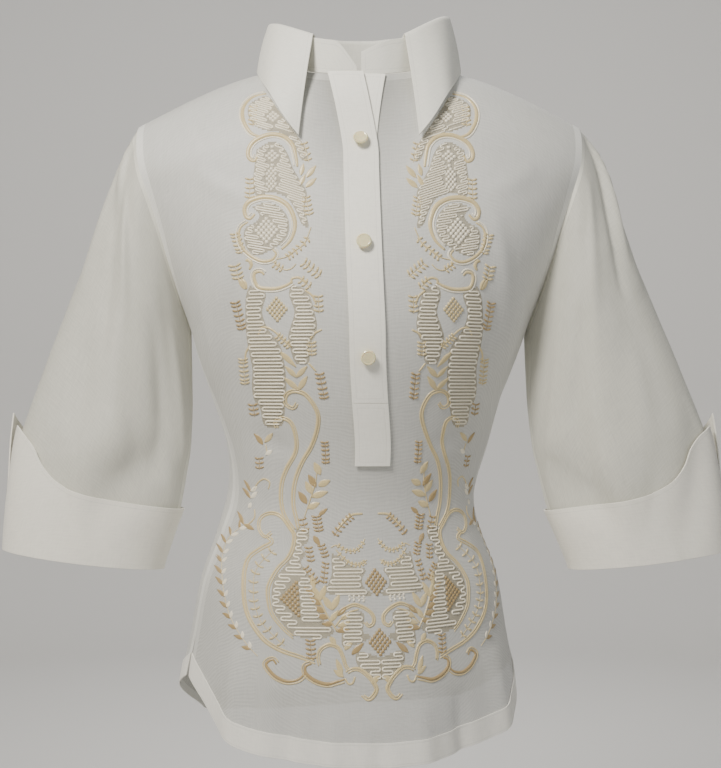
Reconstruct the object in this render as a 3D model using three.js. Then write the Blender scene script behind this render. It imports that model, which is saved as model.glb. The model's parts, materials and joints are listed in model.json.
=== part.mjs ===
import * as THREE from 'three';

// Barong tagalog blouse, a women's small: a sheer pull-over with a half placket, a spread collar,
// three-quarter sleeves with turn-back cuffs and a curved hem with side slits.
// Millimetres. X runs across the shoulders, the front faces -Y and Z points up.
// The origin lies between the two neck points, where the blouse is held.

// Cloth walls
const panelCloth = 1.6;
const stripCloth = 1.1;
const cuffCloth = 2.0;
const collarCloth = 2.0;
const seamGap = 0.36;

// Neck and shoulders
const neckPointX = 76;
const neckPointZ = 5;
const frontNeckZ = -12;
const backNeckZ = 13;
const neckRidge = 30;
const shoulderTipX = 207;
const shoulderTipZ = -46;
const shoulderBow = 7;
const shoulderRounding = 75;

// Body rows, counted from the shoulder down
const armholeRows = 7;
const rowsToBoxSeam = 11;
const rowsBelowPlacket = 9;
const underarmZ = -240;
const centreUnderarmZ = -198.5;
const slitTopZ = -515;

// Half placket, in heights on the centre front
const boxSeamZ = -305;
const slotEndZ = -345;
const placketEndZ = -361;
const placketHalfWidth = 15.5;

// Hem
const hemCentreZ = -621;
const hemBandWidth = 21;
const slitGape = 3;
const backFlare = 0.015;

// The body from the shoulders to the hem: how deep the front and back stand off, how far a section
// is turned by the drape, how much of that depth is left at the armhole and how far the side seam
// comes forward, in degrees.
const bodySections = [
  { height: 20, centre: 0, halfWidth: 207, front: 78, back: 80, turn: 0, armEdge: 0.6, seam: 0 },
  { height: -10, centre: 0, halfWidth: 207, front: 80, back: 82, turn: 0, armEdge: 0.6, seam: 0 },
  { height: -46, centre: 0, halfWidth: 207, front: 87, back: 88, turn: 0.4, armEdge: 0.6, seam: 0 },
  { height: -85, centre: 0, halfWidth: 203, front: 96, back: 94, turn: 1, armEdge: 0.56, seam: 0 },
  { height: -115, centre: 0, halfWidth: 194, front: 104, back: 98, turn: 1.3, armEdge: 0.5, seam: 0 },
  { height: -145, centre: 0, halfWidth: 185, front: 112, back: 101, turn: 1.7, armEdge: 0.42, seam: 0 },
  { height: -180, centre: 0, halfWidth: 176, front: 119, back: 102, turn: 2.2, armEdge: 0.3, seam: 0 },
  { height: -212, centre: 0, halfWidth: 167, front: 122, back: 100, turn: 2.8, armEdge: 0.15, seam: 0 },
  { height: -240, centre: 0, halfWidth: 158, front: 121, back: 96, turn: 3.4, armEdge: 0, seam: 0 },
  { height: -265, centre: -1, halfWidth: 150, front: 117, back: 91, turn: 4.2, armEdge: 0, seam: 3 },
  { height: -300, centre: -2, halfWidth: 137, front: 108, back: 84, turn: 6, armEdge: 0, seam: 8 },
  { height: -346, centre: -2, halfWidth: 124, front: 95, back: 78, turn: 8.5, armEdge: 0, seam: 12 },
  { height: -390, centre: -6, halfWidth: 118, front: 88, back: 77, turn: 10.6, armEdge: 0, seam: 13 },
  { height: -425, centre: -8, halfWidth: 125, front: 91, back: 84, turn: 12, armEdge: 0, seam: 12 },
  { height: -469, centre: -7.5, halfWidth: 141, front: 101, back: 97, turn: 13, armEdge: 0, seam: 9 },
  { height: -520, centre: -7, halfWidth: 150, front: 109, back: 109, turn: 13.4, armEdge: 0, seam: 6 },
  { height: -560, centre: -6.5, halfWidth: 156, front: 114, back: 115, turn: 13.4, armEdge: 0, seam: 5 },
  { height: -625, centre: -5.5, halfWidth: 160, front: 118, back: 119, turn: 13.4, armEdge: 0, seam: 5 },
];

// Where the upright grid lines of a panel start: on the neckline, then on the shoulder seam.
const necklineColumns = [6, 17, 28, 40, 53, 65, 76];
const shoulderColumns = [98, 120, 142, 164, 186, 207];
const columnStarts = [...necklineColumns, ...shoulderColumns];
const placketColumns = 2;

// How high the hem lies from the centre (0) to the side seam (1)
const hemLine = [
  { across: 0, height: -621 },
  { across: 0.22, height: -619 },
  { across: 0.42, height: -613 },
  { across: 0.58, height: -605 },
  { across: 0.7, height: -591 },
  { across: 0.85, height: -572 },
  { across: 1, height: -556 },
];

// A sleeve on the viewer's right, ring by ring: its outer and its inner side seen from the front,
// half of its depth and how far its middle hangs forward.
const sleeveRings = [
  { outerX: 207, outerZ: -46, innerX: 158, innerZ: -240, halfDepth: 56, middleY: 0 },
  { outerX: 221, outerZ: -74, innerX: 158, innerZ: -257, halfDepth: 57, middleY: -1 },
  { outerX: 232, outerZ: -104, innerX: 158, innerZ: -272, halfDepth: 57, middleY: -2 },
  { outerX: 244, outerZ: -136, innerX: 158, innerZ: -288, halfDepth: 57, middleY: -4 },
  { outerX: 257, outerZ: -170, innerX: 158, innerZ: -304, halfDepth: 56, middleY: -6 },
  { outerX: 269, outerZ: -200, innerX: 158.5, innerZ: -320, halfDepth: 55, middleY: -9 },
  { outerX: 280, outerZ: -229, innerX: 159.5, innerZ: -336, halfDepth: 53, middleY: -12 },
  { outerX: 291, outerZ: -258, innerX: 161, innerZ: -353, halfDepth: 51, middleY: -16 },
  { outerX: 301, outerZ: -286, innerX: 164, innerZ: -370, halfDepth: 49, middleY: -20 },
  { outerX: 311, outerZ: -314, innerX: 167, innerZ: -387, halfDepth: 47, middleY: -24 },
  { outerX: 320, outerZ: -342, innerX: 171, innerZ: -405, halfDepth: 45, middleY: -27 },
  { outerX: 326, outerZ: -374, innerX: 177, innerZ: -422, halfDepth: 44, middleY: -30 },
  { outerX: 331, outerZ: -406, innerX: 183, innerZ: -439, halfDepth: 43, middleY: -32 },
  { outerX: 334, outerZ: -438, innerX: 189, innerZ: -456, halfDepth: 42, middleY: -34 },
];
const armholeFade = [1, 0.86, 0.68, 0.5, 0.34, 0.2, 0.1];
const leftSleeve = { side: -1, swing: -7 };
const rightSleeve = { side: 1, swing: 6 };

// Soft folds that run along a sleeve: where round it (degrees from the outer side, front first),
// from which ring to which, and how high they stand.
const sleeveFolds = [
  { around: 32, width: 13, from: 0.5, to: 5, rise: 3.2 },
  { around: 62, width: 15, from: 3, to: 9, rise: -2.4 },
  { around: 100, width: 16, from: 5, to: 13, rise: 2.2 },
  { around: 140, width: 14, from: 1, to: 7, rise: -2.2 },
  { around: 225, width: 16, from: 2, to: 9, rise: 2.2 },
  { around: 275, width: 18, from: 4, to: 12, rise: -2.4 },
  { around: 320, width: 14, from: 1, to: 6, rise: 2.6 },
];

// The turned-back cuff: its height round the sleeve, and how far its top edge stands off.
const cuffHeights = [
  { around: 0, height: 112, flare: 4 },
  { around: 20, height: 110, flare: 3 },
  { around: 44, height: 96, flare: 2 },
  { around: 56, height: 80, flare: 1.6 },
  { around: 72, height: 66, flare: 1.4 },
  { around: 98, height: 58, flare: 1.2 },
  { around: 180, height: 55, flare: 1.2 },
  { around: 250, height: 58, flare: 1.6 },
  { around: 300, height: 76, flare: 3 },
  { around: 335, height: 104, flare: 8 },
  { around: 360, height: 124, flare: 13 },
];
const cuffOpening = 0.035;
const cuffRows = 4;

// Collar, station by station round one side of the neck from the centre front to the centre back.
// lean is how far the top of the stand leans out.
const standStations = [
  { neck: 'front', x: 2, rise: 7, lean: 0 },
  { neck: 'front', x: 17, rise: 27, lean: 1 },
  { neck: 'front', x: 28, rise: 30, lean: 1 },
  { neck: 'front', x: 40, rise: 31, lean: 1 },
  { neck: 'front', x: 53, rise: 35, lean: 2 },
  { neck: 'front', x: 65, rise: 39, lean: 3 },
  { neck: 'front', x: 73, rise: 41, lean: 4 },
  { neck: 'front', x: 76, rise: 43, lean: 4 },
  { neck: 'back', x: 73, rise: 42, lean: 4 },
  { neck: 'back', x: 65, rise: 40, lean: 3 },
  { neck: 'back', x: 53, rise: 38, lean: 2 },
  { neck: 'back', x: 40, rise: 36, lean: 1 },
  { neck: 'back', x: 28, rise: 35, lean: 0 },
  { neck: 'back', x: 17, rise: 34, lean: 0 },
  { neck: 'back', x: 6, rise: 34, lean: 0 },
];
const firstLeafStation = 3;

// The outer edge of the collar leaf, for the same stations from the collar point to the back.
const leafEdge = [
  { x: 53, y: -97, z: -70 },
  { x: 66, y: -93, z: -53 },
  { x: 80, y: -78, z: -29 },
  { x: 89, y: -52, z: -8 },
  { x: 96, y: -14, z: 6 },
  { x: 95, y: 20, z: 5 },
  { x: 88, y: 44, z: -2 },
  { x: 75, y: 62, z: -8 },
  { x: 57, y: 73, z: -8 },
  { x: 39, y: 79, z: -7 },
  { x: 23, y: 82, z: -6 },
  { x: 8, y: 83, z: -6 },
];
const leafRows = 4;
const leafBulge = 3;

// Shank buttons: where on the placket, and how far each is tipped up, in degrees
const buttons = [
  { height: -75, tip: 14 },
  { height: -167, tip: 0 },
  { height: -265, tip: 0 },
];
const buttonRadius = 6.6;
const buttonProfile = [
  { radius: 0, height: 0 },
  { radius: 1.7, height: 0 },
  { radius: 1.7, height: 1.8 },
  { radius: 5.9, height: 2.2 },
  { radius: buttonRadius, height: 2.9 },
  { radius: buttonRadius, height: 3.7 },
  { radius: 5.6, height: 4.6 },
  { radius: 4.9, height: 4.3 },
  { radius: 0, height: 4.3 },
];

// Colours
const organza = new THREE.MeshStandardMaterial({ color: '#e4e6e1', roughness: 0.55, metalness: 0 });
const creamCloth = new THREE.MeshStandardMaterial({ color: '#e9e3d3', roughness: 0.6, metalness: 0 });
const pearlPlastic = new THREE.MeshStandardMaterial({ color: '#e8e2bf', roughness: 0.25, metalness: 0 });

const clamp = THREE.MathUtils.clamp;
const lerp = THREE.MathUtils.lerp;
const radians = THREE.MathUtils.degToRad;

// A smooth curve through one column of a table, read at a value of its key column.
function readTable(rows, key, at, column) {
  const last = rows.length - 1;
  const falling = rows[0][key] > rows[last][key];
  let i = 0;
  while (i < last - 1 && (falling ? at < rows[i + 1][key] : at > rows[i + 1][key])) i += 1;
  const span = rows[i + 1][key] - rows[i][key];
  const t = clamp((at - rows[i][key]) / span, 0, 1);
  const slope = (k) => {
    const a = rows[Math.max(k - 1, 0)];
    const b = rows[Math.min(k + 1, last)];
    return ((b[column] - a[column]) / (b[key] - a[key])) * span;
  };
  const from = rows[i][column];
  const to = rows[i + 1][column];
  const rise = to - from;
  const bend = (slope(i) - rise) * (1 - t) - (slope(i + 1) - rise) * t;
  return from + rise * t + t * (1 - t) * bend;
}

// A mesh from a grid of outer points and the inner points behind them. Every cell kept gets both
// faces, and every free edge gets a wall.
function clothGeometry(outer, inner, keeps = () => true) {
  const rows = outer.length;
  const columns = outer[0].length;
  const positions = [...outer.flat(), ...inner.flat()].flatMap((p) => [p.x, p.y, p.z]);
  const front = (r, c) => r * columns + c;
  const behind = (r, c) => rows * columns + r * columns + c;
  const index = [];
  const quad = (a, b, c, d) => index.push(a, b, c, a, c, d);
  const kept = (r, c) => r >= 0 && c >= 0 && r < rows - 1 && c < columns - 1 && keeps(r, c);
  for (let r = 0; r < rows - 1; r += 1) {
    for (let c = 0; c < columns - 1; c += 1) {
      if (!kept(r, c)) continue;
      quad(front(r, c), front(r + 1, c), front(r + 1, c + 1), front(r, c + 1));
      quad(behind(r, c), behind(r, c + 1), behind(r + 1, c + 1), behind(r + 1, c));
      if (!kept(r - 1, c)) quad(front(r, c), front(r, c + 1), behind(r, c + 1), behind(r, c));
      if (!kept(r + 1, c)) {
        quad(front(r + 1, c + 1), front(r + 1, c), behind(r + 1, c), behind(r + 1, c + 1));
      }
      if (!kept(r, c - 1)) quad(front(r + 1, c), front(r, c), behind(r, c), behind(r + 1, c));
      if (!kept(r, c + 1)) {
        quad(front(r, c + 1), front(r + 1, c + 1), behind(r + 1, c + 1), behind(r, c + 1));
      }
    }
  }
  return facingOut(positions, index);
}

// The geometry with its faces turned outwards, whichever way round its grid ran.
function facingOut(positions, index) {
  const corner = (i) => new THREE.Vector3().fromArray(positions, index[i] * 3);
  let volume = 0;
  for (let i = 0; i < index.length; i += 3) {
    volume += corner(i).dot(corner(i + 1).cross(corner(i + 2)));
  }
  if (volume < 0) index.reverse();
  const geometry = new THREE.BufferGeometry();
  geometry.setAttribute('position', new THREE.Float32BufferAttribute(positions, 3));
  geometry.setIndex(index);
  geometry.computeVertexNormals();
  return geometry;
}

function namedMesh(name, geometry, material) {
  const mesh = new THREE.Mesh(geometry, material.clone());
  mesh.name = name;
  return mesh;
}

// Points moved along their normals: positive is out of the cloth, negative is into it.
function movedOut(points, normals, distance) {
  return points.map((row, r) => row.map((p, c) => p.clone().addScaledVector(normals[r][c], distance)));
}

// Soft drape waves on the body: slight at the bust, wider at the hem.
function bodyDrape(around, height) {
  const low = clamp((-430 - height) / 190, 0, 1);
  const waist = Math.exp(-(((height + 385) / 70) ** 2));
  const hemWaves = 2.6 * low * Math.sin(7 * around + 0.8);
  const waistWaves = 1.3 * waist * Math.sin(5 * around + height / 28);
  return hemWaves + waistWaves;
}

// A point on the outer face of the body. around is the angle from the panel's own centre line, and
// facing is -1 on the front and 1 on the back.
function bodyPoint(facing, around, height) {
  const read = (column) => readTable(bodySections, 'height', height, column);
  const edge = read('armEdge');
  const part = sectionPart(edge);
  const end = (Math.PI / 2) * part;
  const across = Math.sin(around * part) / Math.sin(end);
  const aheadOfSide = (Math.cos(around * part) - Math.cos(end)) / (1 - Math.cos(end));
  const ownSide = aheadOfSide > -1e-9;
  const deep = ownSide === (facing < 0) ? read('front') : read('back');
  const x = read('halfWidth') * across;
  const shoulderZ = ridgeHeight(Math.abs(x));
  const rounded = clamp(1 - (shoulderZ - height) / shoulderRounding, 0, 1);
  const standOff = edge + (1 - edge) * Math.abs(aheadOfSide);
  const y = facing * (ownSide ? 1 : -1) * deep * standOff * Math.sqrt(1 - rounded * rounded);
  const worldAround = facing < 0 ? around : Math.PI - around;
  const wave = 1 + bodyDrape(worldAround, height) / 130;
  const atSlit = slitOpen(height) * Math.abs(across) ** 6;
  const gap = facing * (seamGap / 2 + slitGape * atSlit);
  const turn = radians(read('turn'));
  const flatX = x * (wave + (facing > 0 ? backFlare * atSlit : 0));
  const flatY = y * wave + gap;
  return new THREE.Vector3(
    read('centre') + flatX * Math.cos(turn) - flatY * Math.sin(turn),
    flatX * Math.sin(turn) + flatY * Math.cos(turn),
    height,
  );
}

// How much of a quarter ellipse a section spans: all of it below the arm, less beside the armhole.
function sectionPart(armEdge) {
  return 1 - 0.65 * armEdge;
}

// The angle at which the body's surface has a given x
function angleAt(x, height) {
  const part = sectionPart(readTable(bodySections, 'height', height, 'armEdge'));
  const across = x / readTable(bodySections, 'height', height, 'halfWidth');
  return Math.asin(clamp(across * Math.sin((Math.PI / 2) * part), -1, 1)) / part;
}

// Height of the line that joins front and back: the shoulder seam, which bows up a little, and a
// vault over the neck.
function ridgeHeight(x) {
  const out = clamp((x - neckPointX) / (shoulderTipX - neckPointX), 0, 1);
  return x > neckPointX
    ? lerp(neckPointZ, shoulderTipZ, out) + shoulderBow * Math.sin(Math.PI * out ** 0.75)
    : neckPointZ + neckRidge * (1 - (x / neckPointX) ** 2);
}

// 0 above the side slit, growing to 1 at its foot
function slitOpen(height) {
  return clamp((slitTopZ - height) / 50, 0, 1) ** 1.5;
}

function bodyNormal(facing, around, height) {
  const step = 0.01;
  const limit = height > underarmZ ? Math.PI / 2 : Math.PI;
  const left = bodyPoint(facing, Math.max(around - step, -limit), height);
  const right = bodyPoint(facing, Math.min(around + step, limit), height);
  const above = bodyPoint(facing, around, height + 0.3);
  const below = bodyPoint(facing, around, height - 0.3);
  const normal = right.sub(left).cross(above.sub(below)).normalize();
  return normal.multiplyScalar(-facing);
}

// The share of a panel's length at which each of its rows lies, the hem band left out.
function rowShares() {
  const length = hemCentreZ + hemBandWidth - frontNeckZ;
  const share = (z) => (z - frontNeckZ) / length;
  const upper = Array.from({ length: rowsToBoxSeam }, (_, i) => (share(boxSeamZ) * i) / rowsToBoxSeam);
  const placketFoot = [share(boxSeamZ), share(slotEndZ), share(placketEndZ)];
  const lower = Array.from({ length: rowsBelowPlacket }, (_, i) =>
    lerp(share(placketEndZ), 1, (i + 1) / rowsBelowPlacket));
  return [...upper, ...placketFoot, ...lower];
}

function necklineHeight(facing, x) {
  const across = Math.abs(x) / neckPointX;
  return facing < 0
    ? lerp(frontNeckZ, neckPointZ, across ** 2.5)
    : lerp(backNeckZ, neckPointZ, across ** 3);
}

// Where a grid line starts: its height and its angle on the body.
function columnTop(facing, x) {
  const onNeckline = Math.abs(x) <= neckPointX;
  const height = onNeckline ? necklineHeight(facing, x) : ridgeHeight(Math.abs(x));
  return { height, around: angleAt(x, height) };
}

// One grid line of a panel from its top edge to the hem, as angles and heights.
function panelColumn(facing, columnIndex) {
  const side = Math.sign(columnIndex);
  const step = Math.abs(columnIndex) - 1;
  const x = side * columnStarts[step];
  const last = columnStarts.length - 1;
  const across = step < placketColumns ? 0 : lerp(0.16, 1, (step - placketColumns) / (last - placketColumns));
  const top = columnTop(facing, x);
  const shares = rowShares();
  const underarmShare = shares[armholeRows];
  const outward = step / last;
  const underarm = lerp(centreUnderarmZ, underarmZ, outward);
  const gather = lerp(1, 2, clamp((step - 1) / (necklineColumns.length - 1), 0, 1));
  const hem = readTable(hemLine, 'across', across, 'height');
  const heights = shares.map((share) => (share <= underarmShare
    ? lerp(top.height, underarm, (share / underarmShare) ** gather)
    : lerp(underarm, hem + hemBandWidth, (share - underarmShare) / (1 - underarmShare))));
  heights.push(hem);
  return heights.map((height, row) => {
    if (step < placketColumns) {
      return { height, around: angleAt(x, height) };
    }
    const seam = radians(readTable(bodySections, 'height', height, 'seam'));
    const spread = side * across * (Math.PI / 2 + facing * seam);
    const settled = clamp(row / armholeRows, 0, 1);
    return { height, around: lerp(top.around, spread, settled) };
  });
}

// A body panel as grids of points and normals, row by row, from the viewer's left to the right.
function bodyPanel(facing) {
  const count = columnStarts.length;
  const indices = [];
  for (let i = -count; i <= count; i += 1) if (i !== 0) indices.push(i);
  const columns = indices.map((i) => panelColumn(facing, i));
  const rows = columns[0].map((_, row) => columns.map((column) => column[row]));
  const points = rows.map((row) => row.map((at) => bodyPoint(facing, at.around, at.height)));
  const normals = rows.map((row, r) => row.map((at, c) => {
    const normal = bodyNormal(facing, at.around, at.height);
    const onShoulder = r === 0 && Math.abs(indices[c]) >= necklineColumns.length;
    return onShoulder ? normal.setY(0).normalize() : normal;
  }));
  return { points, normals, rows: points.length, columns: indices.length };
}

const front = bodyPanel(-1);
const back = bodyPanel(1);

function frontPanel() {
  const slotColumn = columnStarts.length - 1;
  const slotRows = rowsToBoxSeam + 1;
  const keeps = (r, c) => c !== slotColumn || r >= slotRows;
  const inner = movedOut(front.points, front.normals, -panelCloth);
  return namedMesh('front_panel', clothGeometry(front.points, inner, keeps), organza);
}

function backPanel() {
  const inner = movedOut(back.points, back.normals, -panelCloth);
  return namedMesh('back_panel', clothGeometry(back.points, inner), organza);
}

// The doubled band along the lower edge of a panel
function hemBand(name, panel) {
  const points = panel.points.slice(-2);
  const normals = panel.normals.slice(-2);
  const inner = movedOut(points, normals, seamGap);
  const outer = movedOut(points, normals, seamGap + stripCloth);
  return namedMesh(name, clothGeometry(outer, inner), creamCloth);
}

// How far the strips of the placket lean to either side above the first button
function placketLean(height) {
  return 12 * clamp((height + 84) / 72, 0, 1) ** 1.3;
}

// A strip of the placket: rows on the centre front, lying a given distance above the front panel.
// It stands off a little more where it leans, up at the neck.
function placketStrip(name, rows, liesAt, lean, halfWidth) {
  const middle = columnStarts.length;
  const heights = front.points.slice(rows.from, rows.to + 1).map((row) => row[middle].z);
  heights[0] -= seamGap;
  const shares = [-1, -1 / 3, 1 / 3, 1];
  const grid = heights.map((height) => shares.map((share) => {
    const x = lean.across * placketLean(height) + share * halfWidth;
    return { around: angleAt(x, height), height };
  }));
  const points = grid.map((row) => row.map((at) => bodyPoint(-1, at.around, at.height)));
  const normals = grid.map((row) => row.map((at) => bodyNormal(-1, at.around, at.height)));
  const lies = grid.map((row) => liesAt + lean.rise * (placketLean(row[0].height) / 12));
  const place = (distance) => points.map((row, r) => row.map((p, c) =>
    p.clone().addScaledVector(normals[r][c], lies[r] + distance)));
  return namedMesh(name, clothGeometry(place(stripCloth), place(0)), creamCloth);
}

const overLiesAt = 2 * seamGap + stripCloth;
const boxSeamRow = rowsToBoxSeam;
const placketEndRow = rowsToBoxSeam + 2;

function placket() {
  const whole = { from: 0, to: placketEndRow };
  const upper = { from: 0, to: boxSeamRow };
  const box = { from: boxSeamRow, to: placketEndRow };
  return [
    placketStrip('placket_under', whole, seamGap, { across: 0.85, rise: 1 }, placketHalfWidth - 2),
    placketStrip('placket_over', upper, overLiesAt, { across: -1, rise: 3 }, placketHalfWidth),
    placketStrip('placket_box', box, overLiesAt, { across: 0, rise: 0 }, placketHalfWidth),
  ];
}

// The armhole edge of a panel on one side, from the shoulder tip down to the underarm.
function armholeEdge(panel, side) {
  const column = side < 0 ? 0 : panel.columns - 1;
  const rows = Array.from({ length: armholeRows + 1 }, (_, r) => r);
  return rows.map((r) => ({ point: panel.points[r][column], normal: panel.normals[r][column] }));
}

function halfway(a, b) {
  return {
    point: a.point.clone().lerp(b.point, 0.5),
    normal: a.normal.clone().add(b.normal).normalize(),
  };
}

// The whole armhole as a ring: shoulder tip, front, underarm, back, with a point halfway along
// every edge. outward lies in the cloth of the body and points into the hole.
function armholeRing(side) {
  const ahead = armholeEdge(front, side);
  const behind = armholeEdge(back, side);
  const tip = halfway(ahead[0], behind[0]);
  const underarm = halfway(ahead[armholeRows], behind[armholeRows]);
  const corners = [
    tip,
    ...ahead.slice(1, armholeRows),
    underarm,
    ...behind.slice(1, armholeRows).reverse(),
  ];
  const ring = corners.flatMap((corner, i) => [corner, halfway(corner, corners[(i + 1) % corners.length])]);
  const middle = ring.reduce((sum, corner) => sum.add(corner.point), new THREE.Vector3());
  middle.divideScalar(ring.length);
  return ring.map(({ point, normal }) => {
    const inward = middle.clone().sub(point);
    return { point, normal, outward: inward.addScaledVector(normal, -inward.dot(normal)).normalize() };
  });
}

// A point of the plain sleeve tube, at an angle round it and at a ring number.
function sleeveTube(sleeve, around, ring) {
  const i = clamp(Math.floor(ring), 0, sleeveRings.length - 2);
  const t = ring - i;
  const mix = (column) => lerp(sleeveRings[i][column], sleeveRings[i + 1][column], t);
  const halfX = (mix('outerX') - mix('innerX')) / 2;
  const halfZ = (mix('outerZ') - mix('innerZ')) / 2;
  const along = ring / (sleeveRings.length - 1);
  const swing = sleeve.side * sleeve.swing * along ** 1.5;
  const fold = 1 + sleeveFold(around, ring) / 55;
  const x = mix('innerX') + halfX + fold * halfX * Math.cos(around) + sleeve.side * swing;
  const y = mix('middleY') - fold * mix('halfDepth') * Math.sin(around);
  const z = mix('innerZ') + halfZ + fold * halfZ * Math.cos(around);
  return new THREE.Vector3(sleeve.side * x, y, z);
}

function sleeveFold(around, ring) {
  const degrees = (around * 180) / Math.PI;
  return sleeveFolds.reduce((sum, fold) => {
    const across = (degrees - fold.around) / fold.width;
    const along = clamp((ring - fold.from) / (fold.to - fold.from), 0, 1);
    return sum + fold.rise * Math.exp(-across * across) * Math.sin(Math.PI * along);
  }, 0);
}

// Normals of a grid that closes on itself round each row
function ringNormals(points, side) {
  const count = points[0].length;
  return points.map((row, r) => row.map((_, c) => {
    const next = row[(c + 1) % count];
    const previous = row[(c + count - 1) % count];
    const below = points[Math.min(r + 1, points.length - 1)][c];
    const above = points[Math.max(r - 1, 0)][c];
    const across = next.clone().sub(previous);
    return across.cross(below.clone().sub(above)).normalize().multiplyScalar(side);
  }));
}

// The first ring lies just off the armhole edge. Where the sleeve turns back on the body, under
// the arm, its wall leans away from the body.
function seamRing(armhole, towards) {
  const outer = [];
  const inner = [];
  armhole.forEach((corner, i) => {
    const leaves = towards[i].clone().sub(corner.point).normalize();
    const angle = Math.atan2(leaves.dot(corner.normal), leaves.dot(corner.outward));
    const turned = angle < -Math.PI / 2 ? Math.PI : Math.max(0, angle);
    const off = corner.outward.clone().multiplyScalar(Math.cos(turned / 2));
    off.addScaledVector(corner.normal, Math.sin(turned / 2)).normalize();
    const lean = 0.75 * turned;
    const wall = corner.normal.clone().multiplyScalar(-Math.cos(lean));
    wall.addScaledVector(corner.outward, Math.sin(lean)).normalize();
    const edge = corner.point.clone().addScaledVector(off, seamGap);
    outer.push(edge);
    inner.push(edge.clone().addScaledVector(wall, panelCloth));
  });
  return { outer, inner };
}

function sleeveAngles(count) {
  return Array.from({ length: count }, (_, i) => (2 * Math.PI * i) / count);
}

// Sleeve points from the armhole to the wrist: the plain tube, drawn towards the armhole near it.
function sleeveGrid(sleeve) {
  const armhole = armholeRing(sleeve.side);
  const angles = sleeveAngles(armhole.length);
  const pull = armhole.map((corner, i) => corner.point.clone().sub(sleeveTube(sleeve, angles[i], 0)));
  const points = sleeveRings.map((_, ring) => angles.map((around, i) =>
    sleeveTube(sleeve, around, ring).addScaledVector(pull[i], armholeFade[ring] ?? 0)));
  return { armhole, points };
}

const closedRow = (row) => [...row, row[0]];

function sleeveMesh(name, sleeve) {
  const { armhole, points } = sleeveGrid(sleeve);
  const normals = ringNormals(points, sleeve.side);
  const inner = movedOut(points, normals, -panelCloth);
  const seam = seamRing(armhole, points[1]);
  points[0] = seam.outer;
  inner[0] = seam.inner;
  return namedMesh(name, tubeGeometry(points, inner), organza);
}

// A tube wall: each row closes on itself, so only its two ends get a rim.
function tubeGeometry(outer, inner) {
  const rows = outer.length;
  const count = outer[0].length;
  const positions = [...outer.flat(), ...inner.flat()].flatMap((p) => [p.x, p.y, p.z]);
  const front = (r, c) => r * count + (c % count);
  const behind = (r, c) => rows * count + r * count + (c % count);
  const index = [];
  const quad = (a, b, c, d) => index.push(a, b, c, a, c, d);
  for (let c = 0; c < count; c += 1) {
    for (let r = 0; r < rows - 1; r += 1) {
      quad(front(r, c), front(r + 1, c), front(r + 1, c + 1), front(r, c + 1));
      quad(behind(r, c), behind(r, c + 1), behind(r + 1, c + 1), behind(r + 1, c));
    }
    quad(front(0, c), front(0, c + 1), behind(0, c + 1), behind(0, c));
    quad(front(rows - 1, c + 1), front(rows - 1, c), behind(rows - 1, c), behind(rows - 1, c + 1));
  }
  return facingOut(positions, index);
}

function sleeveNormal(sleeve, around, ring) {
  const step = 0.02;
  const across = sleeveTube(sleeve, around + step, ring).sub(sleeveTube(sleeve, around - step, ring));
  const along = sleeveTube(sleeve, around, ring + 0.1).sub(sleeveTube(sleeve, around, ring - 0.1));
  return across.cross(along).normalize().multiplyScalar(sleeve.side);
}

// The cuff is turned back over the end of the sleeve and open on the outer side.
function cuffMesh(name, sleeve) {
  const wrist = sleeveRings.length - 1;
  const count = sleeveGrid(sleeve).points[0].length;
  const angles = [...sleeveAngles(count), 2 * Math.PI];
  angles[0] += cuffOpening;
  angles[count] -= cuffOpening;
  const inner = [];
  const outer = [];
  for (let r = 0; r <= cuffRows; r += 1) {
    const share = r / cuffRows;
    const row = angles.map((around) => {
      const degrees = (around * 180) / Math.PI;
      const height = readTable(cuffHeights, 'around', degrees, 'height') * share;
      const flare = readTable(cuffHeights, 'around', degrees, 'flare') * share * share;
      const ringLength = sleeveTube(sleeve, around, wrist).distanceTo(sleeveTube(sleeve, around, wrist - 3)) / 3;
      const ring = wrist - height / ringLength;
      const normal = sleeveNormal(sleeve, around, ring);
      const seat = sleeveTube(sleeve, around, ring).addScaledVector(normal, 2 * seamGap + flare);
      return { seat, normal };
    });
    inner.push(row.map((at) => at.seat));
    outer.push(row.map((at) => at.seat.clone().addScaledVector(at.normal, cuffCloth)));
  }
  return namedMesh(name, clothGeometry(outer, inner), creamCloth);
}

// One station of the neck seam: the point just above the panel's edge, and the way out of the neck.
function neckStation(station, side) {
  const facing = station.neck === 'front' ? -1 : 1;
  const x = side * station.x;
  const height = necklineHeight(facing, x);
  const point = bodyPoint(facing, angleAt(x, height), height);
  point.z += seamGap + 0.5;
  const out = new THREE.Vector3(point.x / 80, point.y / 66, 0).normalize();
  return { ...station, point, out };
}

// All stations from the viewer's left front end, round the back, to the right front end.
function neckStations() {
  const left = standStations.map((station) => neckStation(station, -1));
  const right = standStations.map((station) => neckStation(station, 1)).reverse();
  return [...left, ...right];
}

function standTop(station) {
  const top = station.point.clone().addScaledVector(station.out, station.lean);
  top.z += station.rise;
  return top;
}

function collarStand() {
  const stations = neckStations();
  const shares = [0, 0.5, 1];
  const outer = shares.map((share) => stations.map((s) => s.point.clone().lerp(standTop(s), share)));
  const inner = outer.map((row) => row.map((p, c) =>
    p.clone().addScaledVector(stations[c].out, -collarCloth)));
  return namedMesh('collar_stand', clothGeometry(outer, inner), creamCloth);
}

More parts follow.
